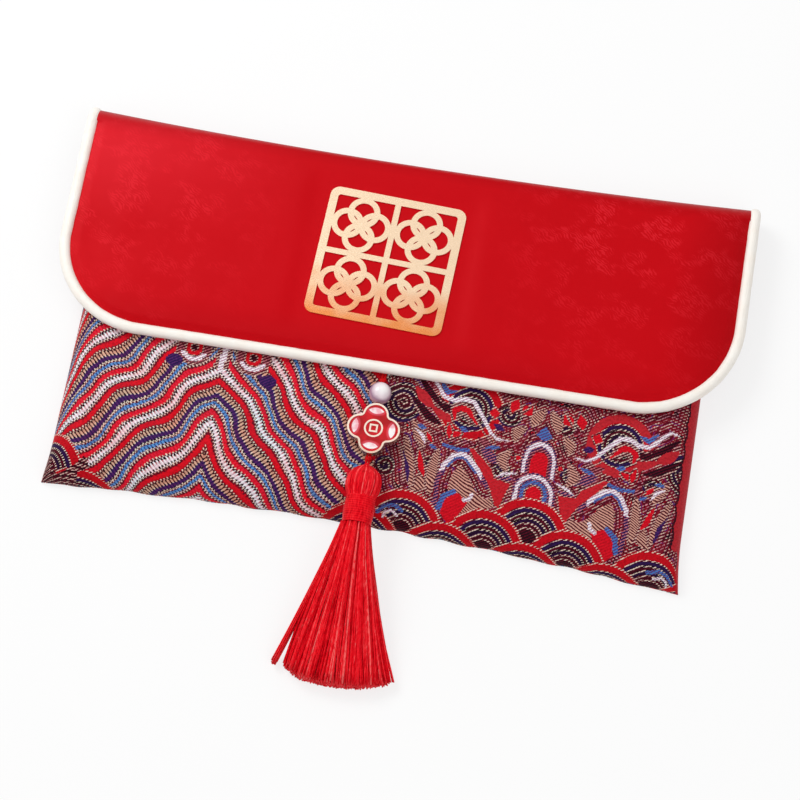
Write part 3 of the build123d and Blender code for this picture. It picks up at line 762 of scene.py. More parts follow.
def brocade_finish():
    """The woven pattern, from the values that weave_values and ground_contour leave on the mesh."""
    f = Finish("brocade", Roughness=0.5, Specular_IOR_Level=0.05)
    place = f.cloth_place()
    x, y = f.axes(place)
    grain = f.noise(place, 1.5, 2.0, 0.6)
    uneven = grain * 0.9 - 0.45
    band = f.value("band")

    def woven(where, stops, cover):
        """Ground and dash colours of the stops, by how far the dashes cover."""
        ground, dashes = (where.ramp(*[(stop[0], stop[k]) for stop in stops], sharp=True) for k in (1, 2))
        return f.mix(cover, ground, dashes)

    # Waves, with dashes across them
    away = x - WAVE_MIDDLE
    run = (away * WAVE_TILT + y) * -0.749 + abs(away) * 0.664
    tooth = (uneven * 0.5 + run).zigzag(0.45)
    drift = f.noise(place, 0.09, 1.0).range(0.25, 0.75, -0.05, 0.1)
    share = (tooth * 0.02 + (uneven * 0.1 + (band + drift))).math("FRACT")
    on_black = [(start, grey(1.0 if ground == BLACK else 0.0)) for start, ground, _ in WAVES]
    other_step = share.ramp(*on_black, sharp=True)
    waves = woven(share, WAVES, (abs(other_step - tooth) + uneven).range(0.55, 0.69))
    hues = (0.36, (1.0, 0.8, 0.78, 1)), (0.52, grey(1.0)), (0.66, (0.86, 1.0, 1.0, 1))
    waves = f.mix(1.0, waves, f.noise(place, 0.09).ramp(*hues), "MULTIPLY")
    # Figures, with dashes in leaning rows, and the gold ones hatched
    rise = (x * 0.12 + y) / 0.5
    lean = rise.math("FRACT") * -0.8 + x / 0.575
    dash = (rise.math("FLOOR") * 0.82 + lean).math("PINGPONG", 1.0)
    bend = f.noise(place, 0.13, 1.0) * 3.2
    hatch = uneven * 0.5 + ((x * 0.5 + y + bend).zigzag(0.38) + 0.16)
    spot = band - RIGHT_START
    gold = list(FIGURES).index("gold")
    is_gold = spot.math("COMPARE", RING_SHARE + (gold + 0.5) * FIGURE_STEP, 0.4 * FIGURE_STEP)
    dashed = dash + uneven
    cover = is_gold * (hatch - dash) + dashed
    stops = [(start * RING_SHARE, *shades) for start, *shades in RINGS]
    stops += [(RING_SHARE + i * FIGURE_STEP, *shades) for i, shades in enumerate(FIGURES.values())]
    figures = woven(spot, stops, cover.range(0.58, 0.72))
    # Ground of the right half: dotted lines that follow its figures
    count = f.value("contour") / 0.95
    patch = f.noise(place, 0.16, 1.0) * 1.7 + count.math("FLOOR") * 0.381
    grounds = [(0.0, WINE), (0.30, MAROON), (0.70, DEEP_RED), (0.72, PURPLE), (0.77, WINE), (0.94, RED)]
    under = patch.math("FRACT").ramp(*grounds, (0.95, BLACK), sharp=True)
    over = f.noise(place, 0.3, 1.0).ramp((0.4, colour(230, 196, 180)), (0.6, colour(204, 136, 150)))
    dotted = count.math("FRACT").range(0.6, 0.46) * dashed.range(0.64, 0.78)
    is_ground = spot.math("COMPARE", RING_SHARE + 0.5 * FIGURE_STEP, 0.4 * FIGURE_STEP)
    figures = f.mix(is_ground, figures, f.mix(dotted, under, over))
    is_figure = band.math("GREATER_THAN", RIGHT_START - 1)
    shade = grain.ramp((0.32, (0.66, 0.6, 0.62, 1)), (0.56, grey(1.0)))
    f.set("Base Color", f.mix(1.0, f.mix(is_figure, waves, figures), shade, "MULTIPLY"))
    f.bump(tooth + is_figure * (dash - tooth), 0.3, 0.1)
    return f.material


# Pouch

def bottom_edge(x):
    uneven = 0.22 * ripple(x, 0 * x, 13, 41) * smooth_step(HALF_WIDTH, HALF_WIDTH - 12, np.abs(x))
    drawn = BOTTOM_DRAW * (1 - (x / (HALF_WIDTH + CORNER_FLARE)) ** 2)
    return BOTTOM_Y + uneven - BOTTOM_SLANT * x + drawn


def side_edge(y):
    radius = (FLARE_HEIGHT**2 + CORNER_FLARE**2) / (2 * CORNER_FLARE)
    return HALF_WIDTH + np.clip(BOTTOM_Y + FLARE_HEIGHT - y, 0, None) ** 2 / (2 * radius)


def shoulder_turns(width, step):
    """Turns from 0 at the seam to a quarter at the top, evenly spaced on the curve, and the length left."""
    turns = np.linspace(0, np.pi / 2, 400)
    curve = np.stack([width * (1 - np.cos(turns)), (FRONT_TOP - CLOTH) * np.sin(turns)], axis=1)
    lengths = run_along(curve)
    count = max(6, round(lengths[-1] / step))
    picked = np.interp(np.linspace(0, lengths[-1], count + 1)[:-1], lengths, turns)
    return picked, lengths[-1] - np.interp(picked, turns, lengths)


def front_points(depth, column_steps, row_steps, rough=False):
    """Points of the pouch's front at a depth below the outer cloth, and their places on the flat cloth.

    column_steps is (left, right) spacing, row_steps is (below, above) spacing round the flap's edge.
    """
    left, left_arc = shoulder_turns(SIDE_SHOULDER, column_steps[0])
    right, right_arc = shoulder_turns(SIDE_SHOULDER, column_steps[1])
    low, low_arc = shoulder_turns(BOTTOM_SHOULDER, row_steps[0])
    inner = HALF_WIDTH - SIDE_SHOULDER
    top = MOUTH_Y - BOTTOM_Y - BOTTOM_SHOULDER
    left_half, right_half = np.arange(-inner, 0, column_steps[0]), np.arange(0, inner, column_steps[1])
    middle = np.concatenate([left_half, right_half, [inner]])
    seen = np.arange(0, SEEN_HEIGHT, row_steps[0])
    hidden = np.arange(SEEN_HEIGHT, top - BOTTOM_DRAW, row_steps[1])
    rows_up = np.concatenate([seen, hidden, [top]])
    column_turn = np.concatenate([left, np.full(len(middle), np.pi / 2), right[::-1]])
    column_x = np.concatenate([np.full(len(left), -inner), middle, np.full(len(right), inner)])
    column_more = np.concatenate([-left_arc, np.zeros(len(middle)), right_arc[::-1]])
    row_turn = np.concatenate([low, np.full(len(rows_up), np.pi / 2)])[:, None]
    row_up = np.concatenate([np.zeros(len(low)), rows_up])[:, None]
    row_more = np.concatenate([low_arc, np.zeros(len(rows_up))])[:, None]
    side = depth + (SIDE_SHOULDER - depth) * (1 - np.cos(column_turn))
    lift = depth + (BOTTOM_SHOULDER - depth) * (1 - np.cos(row_turn))
    share = column_x / inner
    on_shoulder = np.abs(share) > 0.9999
    x = np.tile(column_x, (len(row_turn), 1))
    for _ in range(3):
        start = bottom_edge(x)
        y = start + lift + row_up * (MOUTH_Y - start - BOTTOM_SHOULDER) / top
        edge = side_edge(y)
        x = np.where(on_shoulder, np.sign(share) * (edge - side), share * (edge - SIDE_SHOULDER))
    level = 1 - ((1 - np.sin(column_turn)) ** 4 + (1 - np.sin(row_turn)) ** 4) ** 0.25
    level = np.clip(level, 0, 1)
    z = CLOTH + (FRONT_TOP - CLOTH - depth) * level
    if rough:
        free = smooth_step(-9, -16, y) * level
        z = z + free * np.clip(0.28 * ripple(x, y, 34, 3) + 0.1 * ripple(x, y, 9, 4) - 0.1, -0.28, 0.8)
    flat_x = np.where(on_shoulder, share * inner + column_more, x)
    flat_y = np.where(row_turn < np.pi / 2 - 1e-6, bottom_edge(x) + BOTTOM_SHOULDER - row_more, y)
    return np.stack([x, y, z], axis=2), flat_x, flat_y


def hem_rows(edge, edge_y):
    """Rows that roll the mouth's edge over and run back inside, and their places on the flat cloth."""
    along = np.gradient(edge, axis=0)
    inward = unit(np.stack([along[:, 2], np.zeros(len(edge)), -along[:, 0]], axis=1))
    radius = (CLOTH + FELT) / 2
    rows, places = [], []
    bends = [(turn, 0.0) for turn in np.linspace(np.pi / 8, np.pi, 8)]
    for turn, run in bends + [(np.pi, 1.5), (np.pi, HEM)]:
        row = edge + inward * radius * (1 - np.cos(turn))
        row[:, 1] += radius * np.sin(turn) - run
        rows.append(row)
        places.append(edge_y + radius * turn + run)
    return np.stack(rows), np.stack(places)


def front_brocade(finish):
    points, flat_x, flat_y = front_points(0, (0.46, 0.3), (0.3, 1.6), rough=True)
    rolled, more_y = hem_rows(points[-1], flat_y[-1])
    points = np.concatenate([points, rolled])
    flat_x = np.concatenate([flat_x, np.repeat(flat_x[-1:], len(rolled), axis=0)])
    flat_y = np.concatenate([flat_y, more_y])
    piece = sheet_piece("front_brocade", points, flat_x, flat_y, finish)
    corners = np.empty(len(piece.data.loops), int)
    piece.data.loops.foreach_get("vertex_index", corners)
    corner_x, corner_y = (flat.ravel()[corners].reshape(-1, 4) for flat in (flat_x, flat_y))
    add_values(piece, "band", weave_values(corner_x, corner_y).ravel(), "CORNER")
    add_values(piece, "contour", ground_contour(flat_x, flat_y).ravel())
    dress(piece, "brocade", "pouch", "front_panel")


def front_layer(name, depth, thickness, finish, top_y, node, slot):
    """Felt or lining behind the brocade of the front."""
    points, flat_x, flat_y = front_points(depth, (3.0, 3.0), (2.0, 3.0))
    points[..., 1] = np.minimum(points[..., 1], top_y)
    piece = sheet_piece(name, points, flat_x, flat_y, finish, thickness)
    dress(piece, slot, "pouch", node)
    return piece


def back_layer(name, inset, top_y, low_z, thickness, finish, step, node, slot):
    """One flat layer of the back wall."""
    half = HALF_WIDTH - inset
    columns = np.linspace(-1, 1, round(2 * half / step) + 1)
    rows = np.linspace(0, 1, round((top_y - BOTTOM_Y) / step) + 1)[:, None]
    x = np.tile(columns * half, (len(rows), 1))
    for _ in range(3):
        low = bottom_edge(x) + inset
        y = low + rows * (top_y - low)
        x = columns * (side_edge(y) - inset)
    points = np.stack([x, y, np.full_like(x, low_z + thickness)], axis=2)
    piece = sheet_piece(name, points, x, y, finish, thickness)
    if slot == "brocade":
        add_values(piece, "band", wave_count(x + WAVE_MIDDLE, y - 20.0).ravel())
    dress(piece, slot, "pouch", node)
    return piece


# Flap

def flap_half(y, inset, corner):
    """Half width of the flap at a height, drawn in, with one corner's radius."""
    radius = corner - inset
    drop = np.clip(FLAP_BOTTOM_Y + inset + radius - y, 0, radius)
    return FLAP_HALF - inset - radius + np.sqrt(radius**2 - drop**2)


def edge_distance(x, y, inset):
    """How far a point of the flap is inside its drawn-in edge."""
    radius = np.where(x < 0, CORNER_LEFT, CORNER_RIGHT) - inset
    across = np.abs(x) - (FLAP_HALF - inset - radius)
    down = (FLAP_BOTTOM_Y + inset + radius) - y
    outside = np.hypot(np.clip(across, 0, None), np.clip(down, 0, None))
    inside = np.minimum(np.maximum(across, down), 0)
    return radius - outside - inside


def flap_grid(inset, column_count, step):
    """Places of a flap sheet: x over y, from the lower edge up to the fold line."""
    arc = 30.0 - inset
    fine = FLAP_BOTTOM_Y + inset + arc * (1 - np.cos(np.linspace(0, np.pi / 2, 40)))
    rows = np.concatenate([fine, np.arange(fine[-1] + step, HINGE_Y - step / 2, step), [HINGE_Y]])
    shares = np.linspace(-1, 1, column_count)
    shares = np.sign(shares) * (1 - (1 - np.abs(shares)) ** 1.5)
    left, right = (flap_half(rows, inset, corner)[:, None] for corner in (CORNER_LEFT, CORNER_RIGHT))
    return shares * np.where(shares < 0, left, right), np.tile(rows[:, None], (1, column_count))


def folded_sheet(name, x, y, z, fold_radius, fold_rows, finish, thickness, turned=False):
    """A sheet of the flap that goes on round the fold, drawn in at the middle, to the back wall."""
    turns = np.linspace(0, np.pi, fold_rows + 1)[1:, None]
    across = np.tile(x[-1], (fold_rows, 1))
    draw = FOLD_DRAW * (1 - (across / FOLD_REACH) ** 2)
    round_y = HINGE_Y + np.sin(turns) * (fold_radius - draw)
    round_z = HINGE_Z + np.cos(turns) * fold_radius + 0 * across
    points = np.concatenate([np.stack([x, y, z], axis=2), np.stack([across, round_y, round_z], axis=2)])
    flat_x = np.concatenate([x, across])
    flat_y = np.concatenate([y, HINGE_Y + turns * fold_radius + 0 * across])
    return sheet_piece(name, points, flat_x, flat_y, finish, thickness, turned)


def flap_satin(finish):
    """The satin, slightly puffed, puckered along its seam and flat under the plaque."""
    x, y = flap_grid(CLOTH_INSET, 150, 1.1)
    inside = edge_distance(x, y, SEAM_INSET)
    z = FLAP_TOP - 0.6 * (1 - smooth_step(-0.6, 2.6, inside))
    z = z + 0.5 * smooth_step(0.0, 15.0, inside) * smooth_step(HINGE_Y, HINGE_Y - 12, y)
    calm = smooth_step(0.0, 8.0, inside) * smooth_step(HINGE_Y, HINGE_Y - 6, y)
    z = z + calm * (0.1 * ripple(x, y, 46, 11) + 0.03 * ripple(x, y, 13, 12))
    around = np.where(np.abs(x) > FLAP_HALF - 8, y, x)
    pucker = np.sin(around * 1.25 + 2.0 * ripple(x, y, 30, 13)) * np.exp(-np.clip(inside, 0, None) / 3.0)
    z = z + 0.05 * pucker * smooth_step(0.0, 1.5, inside)
    flat_across = smooth_step(FLAT_FADE, FLAT_TO, np.abs(x - PLAQUE_X))
    flat_along = smooth_step(FLAT_FADE, FLAT_TO, np.abs(y - PLAQUE_Y))
    z = z + (np.minimum(z, FLAP_TOP) - z) * flat_across * flat_along
    piece = folded_sheet("flap_satin_sheet", x, y, z, HINGE_Z, 34, finish, CLOTH - 0.04)
    bend_at_fold(piece)
    dress(piece, "satin", None, "flap_satin", "fold_satin")


def flap_lining(finish):
    x, y = flap_grid(CLOTH_INSET, 60, 3.0)
    z = FLAP_LOW + 0.45 * (1 - smooth_step(-0.6, 1.6, edge_distance(x, y, SEAM_INSET)))
    radius = HINGE_Z - CLOTH - FELT - LINING
    piece = folded_sheet("flap_lining_sheet", x, y, z, radius, 24, finish, LINING - 0.04, turned=True)
    bend_at_fold(piece)
    dress(piece, "lining", None, "flap_lining", "fold_lining")


def flap_felt(finish):
    x, y = flap_grid(FELT_INSET, 60, 3.0)
    points = np.stack([x, y, np.full_like(x, FLAP_LOW + LINING + FELT)], axis=2)
    piece = sheet_piece("flap_felt", points, x, y, finish, FELT)
    dress(piece, "interlining", "flap", "flap_interlining")


def piping_path(step):
    """Middle of the piping with its outward directions, from the left end at the fold to the right one."""
    half, low = FLAP_HALF - PIPING_RADIUS, FLAP_BOTTOM_Y + PIPING_RADIUS
    left, right = CORNER_LEFT - PIPING_RADIUS, CORNER_RIGHT - PIPING_RADIUS
    left_turns, right_turns = (np.linspace(0, np.pi / 2, round(r * np.pi / 2 / step)) for r in (left, right))
    flat = [(-half, y) for y in np.arange(HINGE_Y, low + left, -step)]
    flat += [(-half + left - left * np.cos(t), low + left - left * np.sin(t)) for t in left_turns]
    flat += [(x, low) for x in np.arange(-half + left + step, half - right - step / 2, step)]
    flat += [(half - right + right * np.sin(t), low + right - right * np.cos(t)) for t in right_turns]
    flat += [(half, y) for y in np.arange(low + right + step, HINGE_Y, step)]
    # Both ends wrap round the fold
    wrap = FLAP_MID - HINGE_Z
    outward = [(0, np.sin(t), np.cos(t)) for t in np.linspace(0, PIPING_WRAP, 22)]
    end = [(half, HINGE_Y + wrap * y, HINGE_Z + wrap * z) for _, y, z in outward]
    points = [(-x, y, z) for x, y, z in end[:0:-1]] + [(x, y, FLAP_MID) for x, y in flat] + end
    ups = outward[:0:-1] + [(0, 0, 1)] * len(flat) + outward
    return np.array(points), np.array(ups, float)


def piping_tube(name, radius, finish, plies, slot, *stands_for):
    """The piping's cover or, with plies, the twisted cord inside it, which stops short of its ends."""
    points, ups = piping_path(0.7)
    if plies:
        points, ups = points[4:-4], ups[4:-4]
    side = np.cross(unit(np.gradient(points, axis=0)), ups)
    run = run_along(points)[:, None]
    sides = 20
    turns = circle(sides)
    if plies:
        swell = 1 - 0.16 * np.abs(np.sin(plies / 2 * (turns + run * 1.1)))
    else:
        swell = 1 + 0.018 * ripple(run + 0 * turns, 3.0 * turns[None, :], 5.0, 21)
        swell = swell - 0.014 * (np.sin(2.2 * run + 1.5 * turns + np.sin(0.3 * run)) > 0.8)
    # Rounded ends
    close = np.array([[0.25], [0.7], [0.93]])
    swell[:3] *= close
    swell[-3:] *= close[::-1]
    ring = side[:, None] * np.cos(turns)[:, None] + ups[:, None] * np.sin(turns)[:, None]
    skin = points[:, None] + ring * (radius * swell)[:, :, None]
    # Channel for the cord's loop
    top = LOOP_Z + 0.5
    channel = (np.abs(skin[..., 0]) < 1.6) & (skin[..., 1] < 0) & (skin[..., 2] < top)
    skin[..., 2] = np.where(channel, top, skin[..., 2])
    last = (len(run) - 1) * sides
    faces = grid_faces(len(run), sides, ring=True)[:, ::-1].tolist()
    faces += [list(range(sides)), list(range(last, last + sides))[::-1]]
    piece = make_piece(name, skin, faces, finish)
    flat_places(piece, run + 0 * turns, 0 * run + turns * radius)
    bend_at_fold(piece)
    dress(piece, slot, None, *stands_for)


# Cords and tassel

def twisted(line):
    """Three strands laid round a line of points, as (strand, station, 3)."""
    line = np.asarray(line, float)
    run = run_along(line)
    fine = np.linspace(0, run[-1], max(4, round(run[-1] / CORD_PITCH * 8)))
    middle = np.stack([np.interp(fine, run, line[:, k]) for k in range(3)], axis=1)
    along = unit(np.gradient(middle, axis=0))
    over = unit(np.cross(along, [1.0, 0.0, 0.0]))
    side = np.cross(over, along)
    turns = TURN * (fine / CORD_PITCH + np.arange(3)[:, None] / 3)[:, :, None]
    return middle + CORD_LAY * (side * np.cos(turns) + over * np.sin(turns))


def knot_line(centre):
    """A small overhand knot round a point."""
    turn = np.linspace(0, TURN, 61)
    swing = 1 + 0.42 * np.cos(3 * turn)
    shape = np.stack([np.cos(2 * turn) * swing, 0.62 * np.sin(3 * turn), np.sin(2 * turn) * swing], axis=1)
    return np.asarray(centre) + shape / np.abs(shape).max() * KNOT_RADIUS


def cord_piece(name, stations, finish, body, node, knot=None, lower_body=None):
    """A doubled cord through (y, z) stations, with a knot. With lower_body, its transform is baked into its
    mesh and no body carries it.
    """
    parts = []
    for x in (-CORD_GAP, CORD_GAP):
        paths = twisted([(x, y, z) for y, z in stations])
        parts.append(tubes(paths, np.full(paths.shape[:2], STRAND_RADIUS), 6))
    if knot:
        path = knot_line((0, *knot))[None]
        parts.append(tubes(path, np.full(path.shape[:2], KNOT_STRAND), 8))
    piece = make_piece(name, *joined(parts), finish)
    if lower_body:
        end_y, end_z = stations[-1]
        start, end = (0, (end_y + 0.7) * MM, end_z * MM), (0, end_y * MM, end_z * MM)
        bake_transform(piece)
    dress(piece, "cord", None if lower_body else body, node)


def head_size(share):
    """Share of the head's full girth: a thin neck, then a dome."""
    return np.interp(share, (0.0, 0.06, 0.1, 0.16, 0.25, 0.36, 0.5, 0.62, 0.75, 0.88, 1.0),
                     (0.12, 0.16, 0.36, 0.56, 0.77, 0.9, 0.98, 1.0, 0.98, 0.92, 0.8))


def tassel_head(finish):
    """Threads drawn over a round core."""
    source = np.random.default_rng(31)
    count, stations, sides, core_sides = 210, 22, 5, 36
    column = (count, 1)
    turn = TURN * (np.arange(count)[:, None] + source.uniform(-0.4, 0.4, column)) / count
    share = np.linspace(0, 1.06, stations)
    size = head_size(np.minimum(share, 1.0))
    depth = size * np.interp(share, (0.0, 0.4), (0.7, 1.0))
    down = HEAD_TOP_Y + 0.5 + (BAND_TOP_Y - HEAD_TOP_Y - 0.5) * share
    turn = turn + source.normal(0, 0.06, column) * share
    puff = 1 + source.normal(0, 0.014, column) * np.sin(np.pi * np.minimum(share, 1))
    x = HEAD_SIZE[0] * size * puff * np.cos(turn)
    z = CHAIN_Z + HEAD_SIZE[1] * depth * puff * np.sin(turn)
    radius = np.tile(np.interp(share, (0, 0.15, 1.06), (0.09, 0.15, 0.15)), column)
    threads = tubes(np.stack([x, np.tile(down, column), z], axis=2), radius, sides)
    ring = circle(core_sides)
    core_x = HEAD_CORE[0] * size[:, None] * np.cos(ring)
    core_z = CHAIN_Z + HEAD_CORE[1] * depth[:, None] * np.sin(ring)
    core = np.stack([core_x, down[:, None] + 0 * ring, core_z], axis=2).reshape(-1, 3)
    core_faces = grid_faces(stations, core_sides, ring=True).tolist()
    core_faces += [list(range(core_sides))[::-1], list(range(len(core) - core_sides, len(core)))]
    piece = make_piece("tassel_head_threads", *joined([threads, (core, core_faces)]), finish)
    tone = np.repeat(np.clip(source.normal(0.4, 0.25, count), 0, 1), stations * sides)
    add_values(piece, "strand", np.concatenate([tone, np.full(len(core), 0.3)]))
    dress(piece, "thread", "tassel", "tassel_head")


def tassel_band(finish):
    """One thread wound round the neck."""
    source = np.random.default_rng(32)
    turns, per_turn, sides = 32, 40, 5
    share = np.linspace(0, 1, turns * per_turn + 1)
    round_it = TURN * turns * share
    swell = 1 - 0.03 * np.cos(TURN * share)
    x = BAND_SIZE[0] * swell * np.cos(round_it)
    y = BAND_TOP_Y - 0.15 + (SKIRT_TOP_Y - BAND_TOP_Y + 0.3) * share + 0.02 * np.sin(3.1 * round_it)
    z = CHAIN_Z + BAND_SIZE[1] * swell * np.sin(round_it)
    points, faces = tubes(np.stack([x, y, z], axis=1)[None], np.full((1, len(share)), 0.145), sides)
    piece = make_piece("tassel_band_winding", points, faces, finish)
    tone = 0.4 + 0.15 * np.sin(round_it * 0.37) + source.normal(0, 0.04, len(share))
    add_values(piece, "strand", np.repeat(tone, sides))
    dress(piece, "thread", "tassel", "tassel_band")


def tassel_skirt(finish):
    """Loose threads in clumps, with one small bundle that has strayed to the left."""
    source = np.random.default_rng(33)
    count, stray, stations, sides = 1500, 55, 15, 4
    column = (count, 1)
    spot = np.sqrt(source.uniform(0, 1, column))
    turn = source.uniform(0, TURN, column)
    across, over = spot * np.cos(turn), spot * np.sin(turn)
    run = np.linspace(0, 1, stations)
    belly = np.sin(np.pi * run)
    spread = np.interp(run, (0.0, 0.2, 0.6, 1.0), (0.0, 0.15, 0.56, 1.0))
    fall = np.interp(run, (0.0, 0.2, 0.6, 1.0), (0.0, 0.1, 0.52, 1.0))
    for _ in range(2):
        for line in (spread, fall):
            line[1:-1] = (line[:-2] + 2 * line[1:-1] + line[2:]) / 4
    width = SKIRT_WIDTH[0] + spread * (SKIRT_WIDTH[1] - SKIRT_WIDTH[0])
    depth = SKIRT_DEPTH[0] + spread * (SKIRT_DEPTH[1] - SKIRT_DEPTH[0])
    # Clumps across the skirt
    clump = np.floor((across + 1) * 12.5 + source.uniform(-0.25, 0.25, column))
    middle = (clump + 0.5) / 12.5 - 1
    index = clump.astype(int) + 2
    ridge = source.normal(0, 0.35, 40)[index]
    gather = 0.12 * (middle - across) * np.sin(np.pi * np.minimum(run, 0.85) / 1.7) ** 2
    shift = source.normal(0, 0.01, 40)[index] * belly
    wave = 0.3 * np.sin(run * source.uniform(2, 8, column) + source.uniform(0, 6.3, column))
    cross = source.normal(0, 0.035, column) * run**2
    sideways = across + gather + shift + cross
    # The left edge draws in near the ends, where the stray bundle leaves it
    sideways = sideways + np.clip(-sideways - 0.5, 0, None) * 0.42 * run**2
    x = sideways * width / 2 + wave * run
    z = CHAIN_Z + fall * (2.6 - CHAIN_Z) + (over + 0.18 * ridge * belly) * depth / 2
    length = SKIRT_LENGTH - 3.2 * np.abs(across) ** 2.4 - np.abs(source.normal(0, 0.6, column))
    top = SKIRT_TOP_Y + 0.3
    y = top - run * length
    # Stray bundle
    place = source.normal(0, 1, (stray, 2)) * (0.32, 0.3)
    stray_x = -0.96 * width / 2 + place[:, :1] * (0.6 + 0.4 * run) - 0.3 * run**4
    stray_z = CHAIN_Z + fall * (1.7 - CHAIN_Z) + place[:, 1:] * (1 + run)
    stray_y = top - run * (STRAY_LENGTH - np.abs(source.normal(0, 0.7, (stray, 1))))
    x, y, z = (np.concatenate(both) for both in ((x, stray_x), (y, stray_y), (z, stray_z)))
    thick = np.interp(run, (0, 0.3, 1), (0.12, 0.165, 0.185))
    radius = thick * source.uniform(0.85, 1.15, (count + stray, 1))
    points, faces = tubes(np.stack([x, y, np.maximum(z, 0.3)], axis=2), radius, sides)
    piece = make_piece("tassel_skirt_threads", points, faces, finish)
    bundle = np.floor((across + 1) * 24 + source.uniform(-0.3, 0.3, column)).astype(int) + 2
    # Raised clumps are painted paler and sunken ones darker, as painted shade in the grooves; bundles and
    # threads also differ at random.
    tone = 0.54 + 0.1 * ridge + source.normal(0, 0.14, 60)[bundle] + source.normal(0, 0.2, column)
    tone = np.clip(np.concatenate([tone.ravel(), source.normal(0.4, 0.15, stray)]), 0, 1)
    add_values(piece, "strand", np.repeat(tone, stations * sides))
    dress(piece, "thread", "tassel", "tassel_skirt")


# Build

brocade = brocade_finish()
satin = satin_finish()
lining = lining_finish()
felt = fibre_finish("white_felt", colour(205, 200, 188), colour(240, 238, 230), (2.2, 5.0, 0.7), (0.5, 0.2),
                    on_cloth=True, Roughness=0.95)
cotton = fibre_finish("cotton_filler", colour(214, 208, 194), colour(238, 234, 222), (3.0, 4.0), (0.4, 0.1),
                      Roughness=0.9)
cord = fibre_finish("red_cord", colour(176, 6, 14), colour(232, 22, 30), (1.0, 3.0, 0.5, (6.0, 2.0, 6.0)),
                    (0.3, 0.08), Roughness=0.55, Specular_IOR_Level=0.25, Specular_Tint=colour(255, 120, 120))
thread = thread_finish()

front_brocade(brocade)
piece = front_layer("front_felt", CLOTH + 0.03, FELT - 0.06, felt, MOUTH_Y - 1.3,
                    "front_interlining", "interlining")
piece = front_layer("front_lining_cloth", CLOTH + FELT + 0.04, LINING - 0.06, lining, MOUTH_Y - 2.0,
                    "front_lining", "lining")
piece = back_layer("back_brocade", 0.0, HINGE_Y, 0.0, CLOTH, brocade, 1.0, "back_panel", "brocade")
piece = back_layer("back_felt", BACK_INSET, HINGE_Y - 9.0, CLOTH, FELT, felt, 3.0,
                   "back_interlining", "interlining")
piece = back_layer("back_lining_cloth", BACK_INSET, HINGE_Y, CLOTH + FELT, LINING, lining, 2.0,
                   "back_lining", "lining")

flap_satin(satin)
flap_lining(lining)
flap_felt(felt)
piping_tube("piping_strip", PIPING_RADIUS, piping_finish(), 0, "piping", "piping_cover", "fold_piping")
piping_tube("piping_filler", FILLER_RADIUS, cotton, 3, "piping_core", "piping_core")

cord_piece("loop_anchor_cord", [(KNOT_Y + LOOP_LENGTH, LOOP_Z), (KNOT_Y, LOOP_Z)], cord,
           "flap", "loop_anchor")
cord_piece("loop_cord_strands", [(KNOT_Y, KNOT_Z), (PEARL_TOP_Y, CHAIN_Z), (PEARL_LOW_Y, CHAIN_Z)], cord,
           "hanging_cord", "loop_cord", knot=(KNOT_Y, KNOT_Z))
cord_piece("charm_cord_strands", [(CHARM_TOP_Y, CHAIN_Z), (CHARM_LOW_Y, CHAIN_Z)], cord,
           "charm", "charm_cord")
cord_piece("tail_cord_strands", [(TAIL_TOP_Y, CHAIN_Z), (TAIL_LOW_Y, CHAIN_Z)], cord, "tail", "tail_cord",
           knot=((TAIL_TOP_Y + TAIL_LOW_Y) / 2, CHAIN_Z), lower_body="tassel")
tassel_head(thread)
tassel_band(thread)
tassel_skirt(thread)

charm_gold = gold_finish("charm_gold", colour(240, 219, 203), colour(214, 182, 160), -40.0, -20.0)
nickel = steel_finish()
rigid = {
    "seal_plaque": gold_finish("plaque_gold", colour(233, 205, 174), colour(222, 138, 80), -2.0, 30.0),
    "charm_body": charm_gold,
    "charm_motif": charm_gold,
    "charm_enamel": enamel_finish("charm_red", colour(176, 4, 16), colour(214, 14, 28), 0.35, 0.65,
                                  fade=colour(238, 96, 114)),
    "charm_petals": enamel_finish("charm_white", colour(250, 180, 190), colour(255, 247, 247), 0.38, 0.55),
    "pearl_bead": pearl_finish(),
    "pouch_magnet": nickel,
    "flap_magnet": nickel,
}
for node, finish in rigid.items():
    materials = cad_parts[node].data.materials
    materials.clear()
    materials.append(finish)


# Stage, light and camera. The floor's sizes are in millimetres, places of lamps and camera in metres.

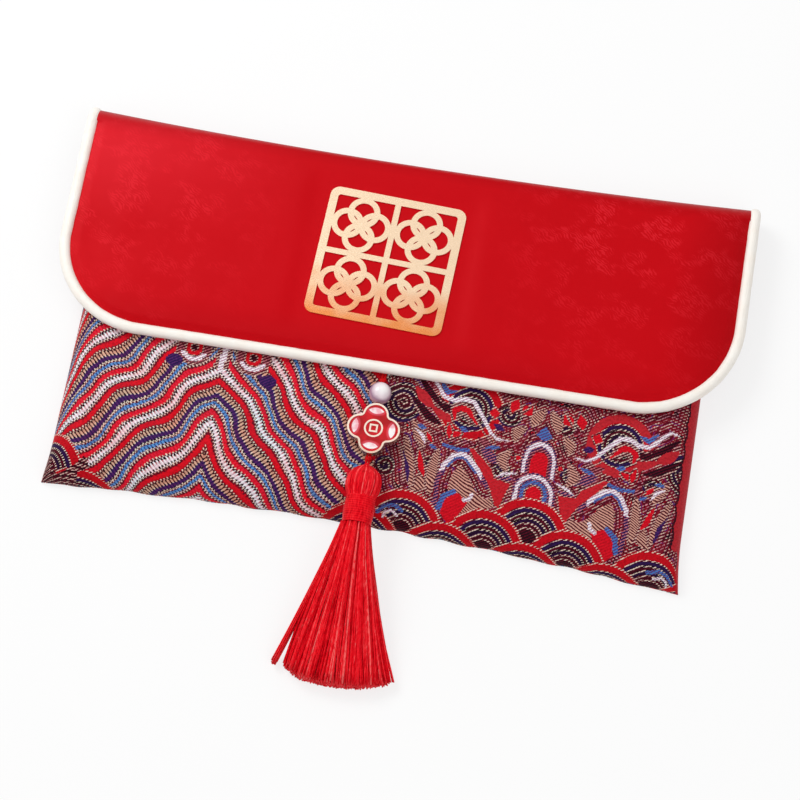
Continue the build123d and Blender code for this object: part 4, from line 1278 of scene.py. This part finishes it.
FLOOR_HALF, FLOOR_Z = 3000.0, -0.06
CAMERA_TURN, CAMERA_RISE = math.radians(9.62), math.radians(70.3)
CAMERA_AIM, CAMERA_DISTANCE = Vector((0.004546, -0.012299, -0.004614)), 0.7
SENSOR_WIDTH, PICTURE_WIDTH, FOCAL_PIXELS = 36.0, 800.0, 2590.0


def build_stage():
    corners = [(x * FLOOR_HALF, y * FLOOR_HALF, FLOOR_Z) for x, y in ((-1, -1), (1, -1), (1, 1), (-1, 1))]
    floor = make_piece("floor", corners, [(0, 1, 2, 3)], floor_finish(), smooth=False)


def build_world():
    world = bpy.data.worlds.new("studio")
    bpy.context.scene.world = world
    world.use_nodes = True
    tree = world.node_tree
    sky = tree.nodes["Background"]
    sky.inputs["Color"].default_value = grey(1.0)
    strength = tree.nodes.new("ShaderNodeMapRange")
    tree.links.new(seen_rays(tree), strength.inputs[0])
    strength.inputs[3].default_value = 0.5
    strength.inputs[4].default_value = 1.0
    tree.links.new(strength.outputs[0], sky.inputs["Strength"])


def area_light(name, place, aim, size, watts):
    lamp = bpy.data.lights.new(name, "AREA")
    lamp.shape = "SQUARE"
    lamp.size = size
    lamp.energy = watts
    light = bpy.data.objects.new(name, lamp)
    light.location = place
    light.rotation_euler = (Vector(aim) - Vector(place)).to_track_quat("-Z", "Y").to_euler()
    bpy.context.scene.collection.objects.link(light)


def build_camera():
    level = math.cos(CAMERA_RISE)
    back = Vector((math.sin(CAMERA_TURN) * level, -math.cos(CAMERA_TURN) * level, math.sin(CAMERA_RISE)))
    lens = bpy.data.cameras.new("camera")
    lens.sensor_width = SENSOR_WIDTH
    lens.lens = SENSOR_WIDTH * FOCAL_PIXELS / PICTURE_WIDTH
    camera = bpy.data.objects.new("camera", lens)
    camera.location = CAMERA_AIM + back * CAMERA_DISTANCE
    camera.rotation_euler = (-back).to_track_quat("-Z", "Y").to_euler()
    bpy.context.scene.collection.objects.link(camera)
    bpy.context.scene.camera = camera


bpy.context.scene.view_settings.view_transform = "Standard"
build_stage()
build_world()
area_light("key", (-0.8, 0.45, 1.0), (0, 0, 0), 0.7, 5.0)
area_light("fill", (0.5, -0.5, 0.8), (0, 0, 0), 0.8, 2.2)
area_light("near", (-0.3, 0.25, 0.45), (-0.05, 0.03, 0), 0.25, 0.85)
build_camera()
